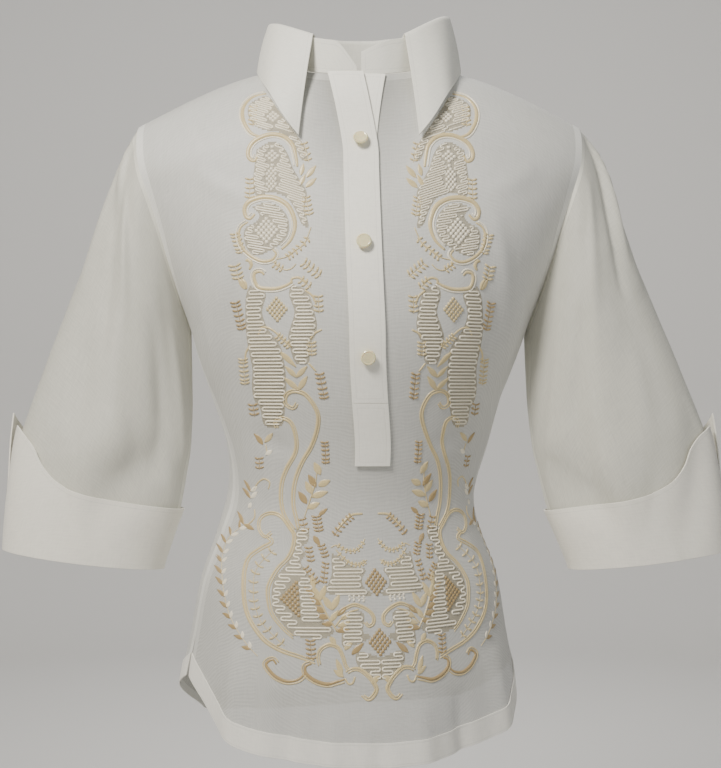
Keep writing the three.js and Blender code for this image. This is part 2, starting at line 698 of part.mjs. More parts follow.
// The leaf starts just outside the top of the stand and falls to its outer edge.
function collarLeaf() {
  const half = leafEdge.length;
  const all = neckStations();
  const stations = all.slice(firstLeafStation, all.length - firstLeafStation);
  const edges = stations.map((_, i) => {
    const row = i < half ? leafEdge[i] : leafEdge[2 * half - 1 - i];
    return new THREE.Vector3(i < half ? -row.x : row.x, row.y, row.z);
  });
  const outer = [];
  for (let r = 0; r <= leafRows; r += 1) {
    const share = r / leafRows;
    outer.push(stations.map((station, i) => {
      const fold = standTop(station).addScaledVector(station.out, seamGap + collarCloth);
      fold.z += 2;
      const point = fold.lerp(edges[i], share);
      return point.addScaledVector(station.out, 4 * leafBulge * share * (1 - share));
    }));
  }
  const normals = gridNormals(outer);
  const inner = movedOut(outer, normals, -collarCloth);
  return namedMesh('collar_leaf', clothGeometry(outer, inner), creamCloth);
}

// Normals of an open grid whose rows run from the viewer's left round the back to the right
function gridNormals(points) {
  return points.map((row, r) => row.map((_, c) => {
    const next = row[Math.min(c + 1, row.length - 1)];
    const previous = row[Math.max(c - 1, 0)];
    const below = points[Math.min(r + 1, points.length - 1)][c];
    const above = points[Math.max(r - 1, 0)][c];
    return next.clone().sub(previous).cross(below.clone().sub(above)).normalize();
  }));
}

function buttonMesh(place, number) {
  const profile = buttonProfile.map((at) => new THREE.Vector2(at.radius, at.height));
  const geometry = new THREE.LatheGeometry(profile, 20);
  const around = 0;
  const normal = bodyNormal(-1, around, place.height);
  const tipped = normal.clone().applyAxisAngle(new THREE.Vector3(1, 0, 0), radians(-place.tip));
  const seat = bodyPoint(-1, around, place.height);
  seat.addScaledVector(normal, overLiesAt + stripCloth + seamGap + 0.12);
  seat.addScaledVector(normal, 1.7 * Math.sin(radians(place.tip)));
  geometry.applyQuaternion(new THREE.Quaternion().setFromUnitVectors(new THREE.Vector3(0, 1, 0), tipped));
  geometry.translate(seat.x, seat.y, seat.z);
  return namedMesh(`button_${number}`, geometry, pearlPlastic);
}

const blouse = new THREE.Group();
blouse.name = 'barong_tagalog_blouse';
blouse.add(
  frontPanel(),
  backPanel(),
  sleeveMesh('sleeve_left', leftSleeve),
  sleeveMesh('sleeve_right', rightSleeve),
  cuffMesh('cuff_left', leftSleeve),
  cuffMesh('cuff_right', rightSleeve),
  collarStand(),
  collarLeaf(),
  ...placket(),
  hemBand('hem_front', front),
  hemBand('hem_back', back),
  ...buttons.map((place, i) => buttonMesh(place, i + 1)),
);

export default blouse;
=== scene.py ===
import json
import math
import random

import bpy
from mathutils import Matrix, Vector

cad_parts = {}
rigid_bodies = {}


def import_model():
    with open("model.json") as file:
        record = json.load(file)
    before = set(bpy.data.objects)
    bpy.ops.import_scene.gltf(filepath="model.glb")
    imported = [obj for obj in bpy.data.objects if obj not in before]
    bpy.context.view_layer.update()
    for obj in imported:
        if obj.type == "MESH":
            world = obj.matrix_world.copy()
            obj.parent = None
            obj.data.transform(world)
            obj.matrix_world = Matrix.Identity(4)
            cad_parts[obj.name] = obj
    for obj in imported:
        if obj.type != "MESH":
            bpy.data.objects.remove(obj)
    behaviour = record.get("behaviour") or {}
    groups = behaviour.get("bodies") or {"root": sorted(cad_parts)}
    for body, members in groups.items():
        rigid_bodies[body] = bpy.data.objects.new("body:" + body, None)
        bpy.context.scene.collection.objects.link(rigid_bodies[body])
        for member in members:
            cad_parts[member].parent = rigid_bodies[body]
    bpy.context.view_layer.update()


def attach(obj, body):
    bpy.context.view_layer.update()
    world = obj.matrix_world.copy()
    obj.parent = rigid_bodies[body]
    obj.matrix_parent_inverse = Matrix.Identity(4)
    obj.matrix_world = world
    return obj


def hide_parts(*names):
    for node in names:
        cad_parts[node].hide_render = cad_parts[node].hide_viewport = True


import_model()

# Barong tagalog blouse, a women's small: sheer organza with beige and ivory machine embroidery.
# Tables and sizes are in millimetres. X runs across, the front faces -Y, Z is up and the origin
# lies between the neck points.

print("frame loaded")


# small helpers

def hexColour(text):
    channels = [int(text[i:i + 2], 16) / 255 for i in (1, 3, 5)]
    linear = [c / 12.92 if c <= 0.04045 else ((c + 0.055) / 1.055) ** 2.4 for c in channels]
    return (*linear, 1)


def clamp(value, low=0.0, high=1.0):
    return min(max(value, low), high)


def lerp(a, b, t):
    return a + (b - a) * t


# a smooth curve through one column of a table, read at a value of its first column
def readSmooth(rows, at, column):
    last = len(rows) - 1
    falling = rows[0][0] > rows[last][0]
    i = 0
    while i < last - 1 and (at < rows[i + 1][0] if falling else at > rows[i + 1][0]):
        i += 1
    span = rows[i + 1][0] - rows[i][0]
    t = clamp((at - rows[i][0]) / span)
    before, after = rows[max(i - 1, 0)], rows[min(i + 2, last)]
    slopeFrom = (rows[i + 1][column] - before[column]) / (rows[i + 1][0] - before[0]) * span
    slopeTo = (after[column] - rows[i][column]) / (after[0] - rows[i][0]) * span
    rise = rows[i + 1][column] - rows[i][column]
    bend = (slopeFrom - rise) * (1 - t) - (slopeTo - rise) * t
    return rows[i][column] + rise * t + t * (1 - t) * bend


# a soft trough or ridge along a line: full in the middle, fading out at its ends and sides
def creaseAt(crease, u, v):
    u0, v0, u1, v1, width, rise, bow = crease
    du, dv = u1 - u0, v1 - v0
    length = math.hypot(du, dv)
    along = ((u - u0) * du + (v - v0) * dv) / length ** 2
    if not -0.05 < along < 1.05:
        return 0.0
    across = ((u - u0) * dv - (v - v0) * du) / length - bow * 4 * along * (1 - along)
    if abs(across) > 3 * width:
        return 0.0
    return rise * math.sin(math.pi * clamp(along)) ** 0.7 * math.exp(-(across / width) ** 2)


# adds a shader node: plain arguments are its settings, and values go on its sockets or are linked;
# a node given as a value is linked by its first output
def addNode(tree, kind, values=None, **settings):
    made = tree.nodes.new("ShaderNode" + kind)
    for name, value in settings.items():
        setattr(made, name, value)
    for name, value in (values or {}).items():
        if isinstance(value, bpy.types.Node):
            value = value.outputs[0]
        if isinstance(value, bpy.types.NodeSocket):
            tree.links.new(value, made.inputs[name])
        else:
            made.inputs[name].default_value = value
    return made


# puts a mesh on the frame's body, with the millimetres turned into metres
def addPiece(name, points, faces, material, smooth=True, maps=None):
    mesh = bpy.data.meshes.new(name)
    mesh.from_pydata([p / 1000 for p in points], [], faces)
    for mapName, pairs in (maps or {}).items():
        layer = mesh.uv_layers.new(name=mapName)
        layer.data.foreach_set("uv", [value / 1000 for pair in pairs for value in pair])
    mesh.polygons.foreach_set("use_smooth", [smooth] * len(faces))
    mesh.materials.append(material)
    mesh.update()
    piece = bpy.data.objects.new(name, mesh)
    bpy.context.scene.collection.objects.link(piece)
    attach(piece, "root")
    return piece


# a cloth surface from rows of points. Its cloth map counts real distances along it, and its seams
# map the distances from its sides and from its ends; a tube has one seam, on its far side
def clothPiece(name, rows, material, closed=False, flip=False, keep=None):
    count = len(rows[0])
    cells = count if closed else count - 1
    run = []
    for row in rows:
        lengths = [0.0]
        for c in range(cells):
            lengths.append(lengths[-1] + (row[(c + 1) % count] - row[c]).length)
        middle = lengths[-1] / 2
        run.append([length - middle for length in lengths])
    fall = [[0.0] * count]
    for r in range(1, len(rows)):
        fall.append([fall[-1][c] + (rows[r][c] - rows[r - 1][c]).length for c in range(count)])
    faces, uvs, seams = [], [], []
    for r in range(len(rows) - 1):
        for c in range(cells):
            if keep and not keep(r, c):
                continue
            d = (c + 1) % count
            corners = [(r, c, c), (r + 1, c, c), (r + 1, d, c + 1), (r, d, c + 1)]
            if flip:
                corners.reverse()
            faces.append([row * count + column for row, column, _ in corners])
            for row, column, mark in corners:
                uvs.append((run[row][mark], -fall[row][column]))
                fromSide = abs(run[row][mark]) if closed else run[row][-1] - abs(run[row][mark])
                fromEnd = min(fall[row][column], fall[-1][column] - fall[row][column])
                seams.append((fromSide, fromEnd))
    return addPiece(name, [p for row in rows for p in row], faces, material,
                    maps={"cloth": uvs, "seams": seams})


# gives a surface a real thickness and soft edges
def thicken(piece, thickness, side, edge):
    solid = piece.modifiers.new("thickness", "SOLIDIFY")
    solid.thickness = thickness / 1000
    solid.offset = side
    solid.use_even_offset = True
    soft = piece.modifiers.new("edge", "BEVEL")
    soft.width = edge / 1000
    soft.segments = 2
    soft.limit_method = "ANGLE"
    soft.angle_limit = math.radians(50)
    soft.harden_normals = True
    return piece


# an empty material with its node tree
def newMaterial(name):
    made = bpy.data.materials.new(name)
    made.use_nodes = True
    made.node_tree.nodes.clear()
    return made, made.node_tree


# uneven threads of a plain weave, warp and weft together; long and fine are strokes a metre
def weaveSlubs(tree, cloth, long, fine):
    warp = addNode(tree, "Mapping", {"Vector": cloth, "Scale": (fine, long, 1)})
    weft = addNode(tree, "Mapping", {"Vector": cloth, "Scale": (long, fine, 1)})
    both = [addNode(tree, "TexNoise", {"Vector": run, "Scale": 1.0,
                                                 "Detail": 2.0}) for run in (warp, weft)]
    return addNode(tree, "Math", {0: both[0], 1: both[1]}, operation="ADD").outputs[0]


# distance from the nearest seam or edge
def seamDistance(tree):
    seams = addNode(tree, "UVMap", uv_map="seams")
    apart = addNode(tree, "SeparateXYZ", {"Vector": seams})
    return addNode(tree, "Math", {0: apart.outputs["X"], 1: apart.outputs["Y"]},
                   operation="MINIMUM").outputs[0]


# organza: fine stiff raw threads in an open plain weave, so the cloth is see-through, has a dry
# low gleam, and shows fine watered lines where two layers cross; seam allowances look denser
# the last two settings paint shade into the colour, at the neck and low down
def organza(name, colour, cover, bands, neckPaintedShade=0.0, lowPaintedShade=0.0):
    made, tree = newMaterial(name)
    cloth = addNode(tree, "UVMap", uv_map="cloth")
    # the threads are 0.15 mm, drawn as slubs of about 1 mm by 14 mm so that they show
    slubs = weaveSlubs(tree, cloth, 60, 900)
    # watered lines about 3 mm apart, stronger further down
    watered = addNode(tree, "TexWave",
                      {"Vector": cloth, "Scale": 95.0, "Distortion": 16.0, "Detail": 2.0,
                       "Detail Scale": 0.3, "Detail Roughness": 0.5},
                      wave_type="BANDS", bands_direction="Y", wave_profile="SIN")
    down = addNode(tree, "SeparateXYZ", {"Vector": cloth}).outputs["Y"]
    strength = addNode(tree, "MapRange",
                       {"Value": down, "From Min": -0.15, "From Max": -0.5,
                        "To Min": bands * 0.4, "To Max": bands})
    allowance = addNode(tree, "MapRange",
                        {"Value": seamDistance(tree), "From Min": 0.0072, "From Max": 0.0082,
                         "To Min": 1.0, "To Max": 0.0})
    thread = addNode(tree, "MapRange",
                     {"Value": slubs, "From Min": 0.75, "From Max": 1.25,
                      "To Min": cover - 0.03, "To Max": cover + 0.03})
    banded = addNode(tree, "Math",
                     {0: watered.outputs["Fac"], 1: strength,
                      2: thread}, operation="MULTIPLY_ADD")
    full = addNode(tree, "Math",
                   {0: allowance, 1: 0.17, 2: banded},
                   operation="MULTIPLY_ADD", use_clamp=True)
    shade = addNode(tree, "MapRange",
                    {"Value": slubs, "From Min": 0.7, "From Max": 1.3,
                     "To Min": 0.96, "To Max": 1.03})
    bright = addNode(tree, "Math",
                     {0: allowance, 1: 0.1, 2: shade},
                     operation="MULTIPLY_ADD")
    # painted shade, darker at the neck and low down, for the dark hollow seen through one layer
    aroundNeck = addNode(tree, "Mapping", {"Vector": cloth, "Scale": (17, 11, 1)})
    away = addNode(tree, "VectorMath", {0: aroundNeck}, operation="LENGTH")
    neck = addNode(tree, "MapRange",
                   {"Value": away.outputs["Value"], "From Min": 0.5, "From Max": 1.3,
                    "To Min": 1 - neckPaintedShade, "To Max": 1.0})
    low = addNode(tree, "MapRange",
                  {"Value": down, "From Min": -0.17, "From Max": -0.42,
                   "To Min": 1.0, "To Max": 1 - lowPaintedShade})
    paintedShade = addNode(tree, "Math",
                     {0: neck, 1: low}, operation="MULTIPLY")
    level = addNode(tree, "Math", {0: bright, 1: paintedShade},
                    operation="MULTIPLY")
    tint = addNode(tree, "VectorMath", {0: hexColour(colour)[:3], 3: level},
                   operation="SCALE")
    bump = addNode(tree, "Bump", {"Height": slubs, "Strength": 0.12, "Distance": 0.0004})
    surface = addNode(tree, "BsdfPrincipled",
                      {"Base Color": tint, "Roughness": 0.5, "IOR": 1.54,
                       "Specular IOR Level": 0.35, "Sheen Weight": 0.2, "Sheen Roughness": 0.45,
                       "Alpha": full, "Normal": bump})
    addNode(tree, "OutputMaterial", {"Surface": surface})
    return made


# interlined organza of the collar, placket and cuffs: several fused layers, so it is opaque and
# creamy, with the weave just showing and a line of stitching near its edge
# the last setting paints shade into the colour inside the neck
def interlined(name, colour, stitch=0.004, sheen=0.15, innerPaintedShade=0.0):
    made, tree = newMaterial(name)
    cloth = addNode(tree, "UVMap", uv_map="cloth")
    slubs = weaveSlubs(tree, cloth, 90, 700)
    # a stitch line is 0.3 mm wide, drawn at 0.6 mm so that it shows
    stitching = addNode(tree, "Math", {0: seamDistance(tree), 1: stitch, 2: 0.0003},
                        operation="COMPARE").outputs[0]
    shade = addNode(tree, "MapRange",
                    {"Value": slubs, "From Min": 0.7, "From Max": 1.3,
                     "To Min": 0.95, "To Max": 1.03})
    sunk = addNode(tree, "Math", {0: stitching, 1: -0.1, 2: shade},
                   operation="MULTIPLY_ADD")
    # painted shade: the first 3 cm, inside the neck, are made darker
    down = addNode(tree, "SeparateXYZ", {"Vector": cloth}).outputs["Y"]
    inner = addNode(tree, "MapRange",
                    {"Value": down, "From Min": -0.028, "From Max": -0.034,
                     "To Min": 1 - innerPaintedShade, "To Max": 1.0})
    level = addNode(tree, "Math", {0: sunk, 1: inner},
                    operation="MULTIPLY")
    tint = addNode(tree, "VectorMath", {0: hexColour(colour)[:3], 3: level},
                   operation="SCALE")
    relief = addNode(tree, "Math", {0: stitching, 1: -0.8, 2: slubs},
                     operation="MULTIPLY_ADD")
    bump = addNode(tree, "Bump",
                   {"Height": relief, "Strength": 0.15, "Distance": 0.0003})
    surface = addNode(tree, "BsdfPrincipled",
                      {"Base Color": tint, "Roughness": 0.55, "IOR": 1.54,
                       "Specular IOR Level": 0.35, "Sheen Weight": sheen, "Sheen Roughness": 0.4,
                       "Normal": bump})
    addNode(tree, "OutputMaterial", {"Surface": surface})
    return made


# a colour made uneven by a noise on the object, and the noise itself
def unevenTint(tree, colour, low, high, **noise):
    place = addNode(tree, "TexCoord").outputs["Object"]
    uneven = addNode(tree, "TexNoise", {"Vector": place, **noise})
    shade = addNode(tree, "MapRange", {"Value": uneven, "From Min": 0.3, "From Max": 0.7,
                                       "To Min": low, "To Max": high})
    tint = addNode(tree, "VectorMath", {0: hexColour(colour)[:3], 3: shade}, operation="SCALE")
    return tint, uneven


# cast polyester button: pearl pigment in a clear resin, moulded and tumbled to a soft polish
def pearlResin(name, colour):
    made, tree = newMaterial(name)
    tint, _ = unevenTint(tree, colour, 0.9, 1.06, Scale=260.0, Detail=2.0, Distortion=1.2)
    surface = addNode(tree, "BsdfPrincipled",
                      {"Base Color": tint, "Roughness": 0.22, "IOR": 1.54,
                       "Subsurface Weight": 0.15, "Subsurface Scale": 0.002,
                       "Coat Weight": 0.4, "Coat Roughness": 0.12})
    addNode(tree, "OutputMaterial", {"Surface": surface})
    return made


# the body: sizes first, then its surface

body = {
    # height, centre, half width, front depth, back depth, turn in degrees, depth left at the
    # armhole, how far the side seam comes forward in degrees
    "sections": [
        (20, 0, 207, 78, 80, 0, 0.6, 0), (-10, 0, 207, 80, 82, 0, 0.6, 0),
        (-46, 0, 207, 87, 88, 0.4, 0.6, 0), (-85, 0, 203, 96, 94, 1, 0.56, 0),
        (-115, 0, 194, 104, 98, 1.3, 0.5, 0), (-145, 0, 185, 112, 101, 1.7, 0.42, 0),
        (-180, 0, 176, 119, 102, 2.2, 0.3, 0), (-212, 0, 167, 122, 100, 2.8, 0.15, 0),
        (-240, 0, 158, 121, 96, 3.4, 0, 0), (-265, -1, 150, 117, 91, 4.2, 0, 3),
        (-300, -2, 137, 108, 84, 6, 0, 8), (-346, -2, 124, 95, 78, 8.5, 0, 12),
        (-390, -6, 118, 88, 77, 10.6, 0, 13), (-425, -8, 125, 91, 84, 12, 0, 12),
        (-469, -7.5, 141, 101, 97, 13, 0, 9), (-520, -7, 150, 109, 109, 13.4, 0, 6),
        (-560, -6.5, 156, 114, 115, 13.4, 0, 5), (-625, -5.5, 160, 118, 119, 13.4, 0, 5),
    ],
    "neckPoint": (76, 5), "frontNeck": -12, "backNeck": 13, "neckRidge": 30,
    "shoulderTip": (207, -46), "shoulderBow": 7, "shoulderRounding": 75,
    "underarm": -240, "centreUnderarm": -198.5, "slitTop": -515, "slotEnd": -345,
    "hem": [(0, -621), (0.22, -619), (0.42, -613), (0.58, -605), (0.7, -591), (0.85, -572),
            (1, -556)],
    "hemBand": 21, "slitGape": 3, "backFlare": 0.015, "seamGap": 0.18,
    "colours": {-1: "#dfdfd9", 1: "#dadad4"}, "cover": 0.8,
    # a drape or crease of this height would double the distance from the axis
    "drapeScale": 95,
    # where the upright grid lines start along the neckline and the shoulder
    "starts": [0, 6, 17, 28, 40, 53, 65, 76, 98, 120, 142, 164, 186, 207],
    "creaseDepth": {-1: 1, 1: 1.8},
    # creases of the front and the back: from (x, z), to (x, z), half width, rise, bow
    "frontCreases": [
        (-112, -140, -132, -300, 9, 2.2, 5), (-146, -190, -138, -262, 5, 1.6, 0),
        (114, -130, 134, -296, 9, 2.0, -5), (148, -196, 140, -258, 5, 1.5, 0),
        (-150, -96, -96, -128, 8, 1.2, 3), (158, -92, 108, -120, 8, 1.2, -3),
        (-104, -330, -60, -352, 7, -1.3, 2), (98, -322, 52, -346, 7, -1.2, -2),
        (-84, -402, -96, -520, 10, 1.5, 4), (92, -410, 104, -530, 11, 1.6, -4),
        (-118, -520, -126, -640, 9, 2.8, 2), (-80, -556, -88, -655, 9, -2.4, 0),
        (-44, -572, -46, -665, 10, 2.2, 0), (-4, -590, -6, -660, 9, -1.8, 0),
        (34, -568, 40, -668, 11, 2.4, 0), (76, -560, 84, -655, 9, -2.6, 0),
        (114, -530, 124, -650, 9, 3.2, -2), (18, -470, 4, -560, 14, 0.8, 0),
    ],
    "backCreases": [
        (-96, -60, -60, -210, 14, 1.8, 8), (88, -70, 62, -230, 13, 1.6, -8),
        (-140, -170, -90, -300, 9, -1.8, 4), (138, -160, 92, -290, 9, -1.9, -4),
        (-70, -330, 0, -352, 7, -1.6, 3), (66, -352, -6, -374, 7, -1.3, -3),
        (-86, -392, -98, -540, 11, 1.8, 4), (80, -398, 96, -548, 12, 1.7, -4),
        (-120, -540, -128, -650, 9, 2.6, 0), (-66, -560, -72, -660, 11, -2.2, 0),
        (-8, -540, -4, -665, 12, 2.0, 0), (58, -566, 64, -664, 10, -2.3, 0),
        (110, -536, 118, -650, 9, 2.7, 0), (-30, -300, -46, -430, 12, 1.5, 6),
        (34, -286, 22, -420, 12, -1.6, -6), (-20, -120, -6, -280, 15, -1.2, 5),
    ],
}

sectionRows = [[readSmooth(body["sections"], 20 - i, column) for column in range(1, 8)]
               for i in range(647)]


# centre, half width, front, back, turn, armhole depth and seam at a height
def sectionAt(height):
    at = clamp(20 - height, 0, len(sectionRows) - 1.001)
    i = int(at)
    return [lerp(a, b, at - i) for a, b in zip(sectionRows[i], sectionRows[i + 1])]


# height of the line that joins front and back: the shoulder seam, which bows up a little, and a
# vault over the neck
def ridgeHeight(x):
    neckX, neckZ = body["neckPoint"]
    tipX, tipZ = body["shoulderTip"]
    if x > neckX:
        out = clamp((x - neckX) / (tipX - neckX))
        return lerp(neckZ, tipZ, out) + body["shoulderBow"] * math.sin(math.pi * out ** 0.75)
    return neckZ + body["neckRidge"] * (1 - (x / neckX) ** 2)


# 0 above the side slit, growing to 1 at its foot
def slitOpen(height):
    return clamp((body["slitTop"] - height) / 50) ** 1.5


# soft drape waves: slight at the waist, wider at the hem
def bodyDrape(around, height):
    low = clamp((-430 - height) / 190)
    waist = math.exp(-((height + 385) / 70) ** 2)
    hemWaves = 2.6 * low * math.sin(7 * around + 0.8)
    return hemWaves + 1.3 * waist * math.sin(5 * around + height / 28)


# the angle at which the body's surface has a given x
def angleAt(x, height):
    section = sectionAt(height)
    part = 1 - 0.65 * section[5]
    return math.asin(clamp(x / section[1] * math.sin(math.pi / 2 * part), -1, 1)) / part


# a point on the body: around is the angle from the panel's centre line, facing is -1 on the front
def bodyPoint(facing, around, height):
    centre, halfWidth, front, back, turn, edge, _ = sectionAt(height)
    part = 1 - 0.65 * edge
    end = math.pi / 2 * part
    across = math.sin(around * part) / math.sin(end)
    aheadOfSide = (math.cos(around * part) - math.cos(end)) / (1 - math.cos(end))
    ownSide = aheadOfSide > -1e-9
    deep = front if ownSide == (facing < 0) else back
    x = halfWidth * across
    rounded = clamp(1 - (ridgeHeight(abs(x)) - height) / body["shoulderRounding"])
    standOff = edge + (1 - edge) * abs(aheadOfSide)
    y = facing * (1 if ownSide else -1) * deep * standOff * math.sqrt(1 - rounded * rounded)
    drape = bodyDrape(around if facing < 0 else math.pi - around, height)
    creases = body["frontCreases"] if facing < 0 else body["backCreases"]
    drape += body["creaseDepth"][facing] * sum(creaseAt(crease, x, height) for crease in creases)
    wave = 1 + drape / body["drapeScale"]
    atSlit = slitOpen(height) * abs(across) ** 6
    flare = body["backFlare"] * atSlit if facing > 0 else 0
    gap = facing * (body["seamGap"] + body["slitGape"] * atSlit)
    flatX, flatY = x * (wave + flare), y * wave + gap
    turned = math.radians(turn)
    return Vector((centre + flatX * math.cos(turned) - flatY * math.sin(turned),
                   flatX * math.sin(turned) + flatY * math.cos(turned), height))


def necklineHeight(facing, x):
    neckX, neckZ = body["neckPoint"]
    across = abs(x) / neckX
    if facing < 0:
        return lerp(body["frontNeck"], neckZ, across ** 2.5)
    return lerp(body["backNeck"], neckZ, across ** 3)


# one upright grid line of a panel, from its top edge to the hem, as angles and heights
def panelColumn(facing, place, rows):
    side = -1 if place < 0 else 1
    starts = body["starts"]
    step = abs(place) * (len(starts) - 1)
    i = min(int(step), len(starts) - 2)
    x = side * lerp(starts[i], starts[i + 1], step - i)
    top = necklineHeight(facing, x) if abs(x) <= starts[7] else ridgeHeight(abs(x))
    topAround = angleAt(x, top)
    across = lerp(0.16, 1, (step - 3) / 10)
    underarm = lerp(body["centreUnderarm"], body["underarm"], max(step - 1, 0) / 12)
    gather = lerp(1, 2, clamp((step - 2) / 6))
    hem = readSmooth(body["hem"], clamp(across), 1)
    upper, lower, band = rows
    heights = [lerp(top, underarm, (r / upper) ** gather) for r in range(upper)]
    heights += [lerp(underarm, hem + body["hemBand"], r / lower) for r in range(lower)]
    heights += [hem + body["hemBand"] * (1 - r / band) for r in range(band + 1)]
    line = []
    for r, height in enumerate(heights):
        seam = math.radians(sectionAt(height)[6])
        spread = side * across * (math.pi / 2 + facing * seam)
        around = lerp(topAround, spread, clamp(r / upper))
        straight = angleAt(x, height)
        line.append((lerp(straight, around, clamp(step - 2)), height))
    return line


panelRows = (52, 84, 5)
halfColumns = 65
panelPlaces = [i / halfColumns for i in range(-halfColumns, halfColumns + 1)]


def panelGrid(facing):
    columns = [panelColumn(facing, place, panelRows) for place in panelPlaces]
    return [[bodyPoint(facing, *column[r]) for column in columns] for r in range(len(columns[0]))]


# the way out of the cloth at a point of the body
def bodyNormal(facing, around, height):
    left = bodyPoint(facing, around - 0.01, height)
    right = bodyPoint(facing, around + 0.01, height)
    above = bodyPoint(facing, around, height + 0.5)
    below = bodyPoint(facing, around, height - 0.5)
    return (right - left).cross(above - below).normalized() * -facing


# the front surface at a distance from the centre line and a height, raised above the cloth
def onFront(x, height, lift=0.0):
    around = angleAt(x, height)
    return bodyPoint(-1, around, height) + bodyNormal(-1, around, height) * lift


# the front's colour has painted shade at the neck and low down
frontCloth = organza("machine_woven_organza_front_painted_shade", body["colours"][-1], body["cover"], 0.12,
                     neckPaintedShade=0.4, lowPaintedShade=0.2)
backCloth = organza("machine_woven_organza_back", body["colours"][1], body["cover"], 0.08)

frontRows = panelGrid(-1)
backRows = panelGrid(1)
middle = len(panelPlaces) // 2
slotCells = [c for c in range(2 * halfColumns)
             if abs(panelPlaces[c] + 0.5 / halfColumns) < 1 / 13]


# the front is cut open under the placket
def keepFront(r, c):
    return c not in slotCells or frontRows[r][middle].z < body["slotEnd"]


frontPanel = clothPiece("front_cloth", frontRows, frontCloth, keep=keepFront)
backPanel = clothPiece("back_cloth", backRows, backCloth, flip=True)
print("body panels")


# hem bands: the lower edge turned up and stitched, so twice as dense
hems = {"thickness": 1.0, "colour": "#f5f3ea"}

hemCloth = {-1: interlined("turned_organza_hem_front", hems["colour"], stitch=0.002),
            1: interlined("turned_organza_hem_back", hems["colour"], stitch=0.002)}


def hemPiece(name, facing, rows):
    start = panelRows[0] + panelRows[1]
    lifted = []
    for r in range(start, len(rows)):
        line = []
        for c, point in enumerate(rows[r]):
            right = rows[r][min(c + 1, len(rows[r]) - 1)]
            left = rows[r][max(c - 1, 0)]
            up = rows[r - 1][c]
            out = (right - left).cross(up - point).normalized() * -facing
            line.append(point + out * 0.3)
        lifted.append(line)
    piece = clothPiece(name, lifted, hemCloth[facing], flip=facing > 0)
    return thicken(piece, hems["thickness"], 1, 0.3)


frontHem = hemPiece("hem_front_band", -1, frontRows)
backHem = hemPiece("hem_back_band", 1, backRows)
print("hems")


sleeves = {
    # ring, outer x, outer z, inner x, inner z, half depth, how far its middle hangs back
    "rings": [
        (0, 207, -46, 158, -240, 56, 0), (1, 221, -74, 158, -257, 57, -1),
        (2, 232, -104, 158, -272, 57, -2), (3, 244, -136, 158, -288, 57, -4),
        (4, 257, -170, 158, -304, 56, -6), (5, 269, -200, 158.5, -320, 55, -9),
        (6, 280, -229, 159.5, -336, 53, -12), (7, 291, -258, 161, -353, 51, -16),
        (8, 301, -286, 164, -370, 49, -20), (9, 311, -314, 167, -387, 47, -24),
        (10, 320, -342, 171, -405, 45, -27), (11, 326, -374, 177, -422, 44, -30),
        (12, 331, -406, 183, -439, 43, -32), (13, 334, -438, 189, -456, 42, -34),
    ],
    "armholeFade": [(0, 1), (1, 0.86), (2, 0.68), (3, 0.5), (4, 0.34), (5, 0.2), (6, 0.1), (7, 0),
                    (8, 0)],
    # folds along a sleeve: angle from the outer side (front first), width, from ring, to ring, rise
    "folds": [
        (32, 13, 0.5, 5, 3.2), (62, 15, 3, 9, -2.4), (100, 16, 5, 13, 2.2), (140, 14, 1, 7, -2.2),
        (225, 16, 2, 9, 2.2), (275, 18, 4, 12, -2.4), (320, 14, 1, 6, 2.6),
    ],
    "swing": {-1: -7, 1: 6},
    "foldScale": 40, "colour": "#dad9cd", "cover": 0.78,
    # creases of each side: from (angle, ring x 10), to (angle, ring x 10), half width, rise, bow
    "creases": {
        -1: [(34, 2, 64, 22, 6, 3.4, 0), (66, 12, 92, 46, 5, 2.6, 3), (52, 16, 78, 62, 7, -2.6, 3),
             (84, 44, 108, 92, 9, 1.8, -4), (118, 30, 136, 92, 9, -3.0, 5),
             (58, 58, 72, 95, 8, -1.8, 2), (150, 22, 160, 80, 6, 1.8, 0),
             (236, 16, 252, 84, 9, 2.4, 4),
             (284, 26, 300, 92, 9, -2.6, -4), (204, 50, 214, 94, 8, -2.0, 0),
             (92, 118, 142, 80, 13, -4.6, 6), (78, 108, 106, 74, 13, 3.6, 4),
             (262, 116, 226, 84, 12, -3.8, 5)],
        1: [(16, 3, 44, 40, 5, 4.0, 4), (28, 6, 58, 46, 5, -3.0, 4), (72, 8, 96, 52, 7, 1.8, 3),
            (100, 36, 122, 92, 9, -2.6, 5), (60, 54, 84, 95, 9, 2.0, -3),
            (132, 24, 148, 78, 8, 1.8, 0), (228, 20, 246, 88, 9, -2.4, 4),
            (276, 12, 292, 80, 9, 2.6, -4),
            (208, 54, 220, 94, 8, 2.0, 0), (158, 86, 106, 112, 12, -4.6, -4),
            (112, 84, 84, 106, 13, 3.6, 4), (76, 128, 24, 92, 11, -3.2, 0),
            (256, 114, 222, 82, 12, -3.8, 5)],
    },
}


def sleeveFold(side, around, ring):
    degrees = math.degrees(around) % 360
    rise = 0.0
    for at, width, start, end, height in sleeves["folds"]:
        across = (degrees - at) / width
        along = clamp((ring - start) / (end - start))
        rise += height * math.exp(-across * across) * math.sin(math.pi * along)
    for crease in sleeves["creases"][side]:
        rise += creaseAt(crease, degrees, ring * 10)
    return rise


ringCache = {}


def ringAt(ring):
    if ring not in ringCache:
        ringCache[ring] = [readSmooth(sleeves["rings"], ring, column) for column in range(1, 7)]
    return ringCache[ring]


# a point of the plain sleeve tube, at an angle round it and a ring number
def sleeveTube(side, around, ring):
    outerX, outerZ, innerX, innerZ, halfDepth, middleY = ringAt(ring)
    halfX, halfZ = (outerX - innerX) / 2, (outerZ - innerZ) / 2
    swing = sleeves["swing"][side] * (ring / 13) ** 1.5 if ring > 0 else 0
    fold = 1 + sleeveFold(side, around, ring) / sleeves["foldScale"]
    x = innerX + halfX + fold * halfX * math.cos(around) + swing
    y = middleY - fold * halfDepth * math.sin(around)
    return Vector((side * x, y, innerZ + halfZ + fold * halfZ * math.cos(around)))


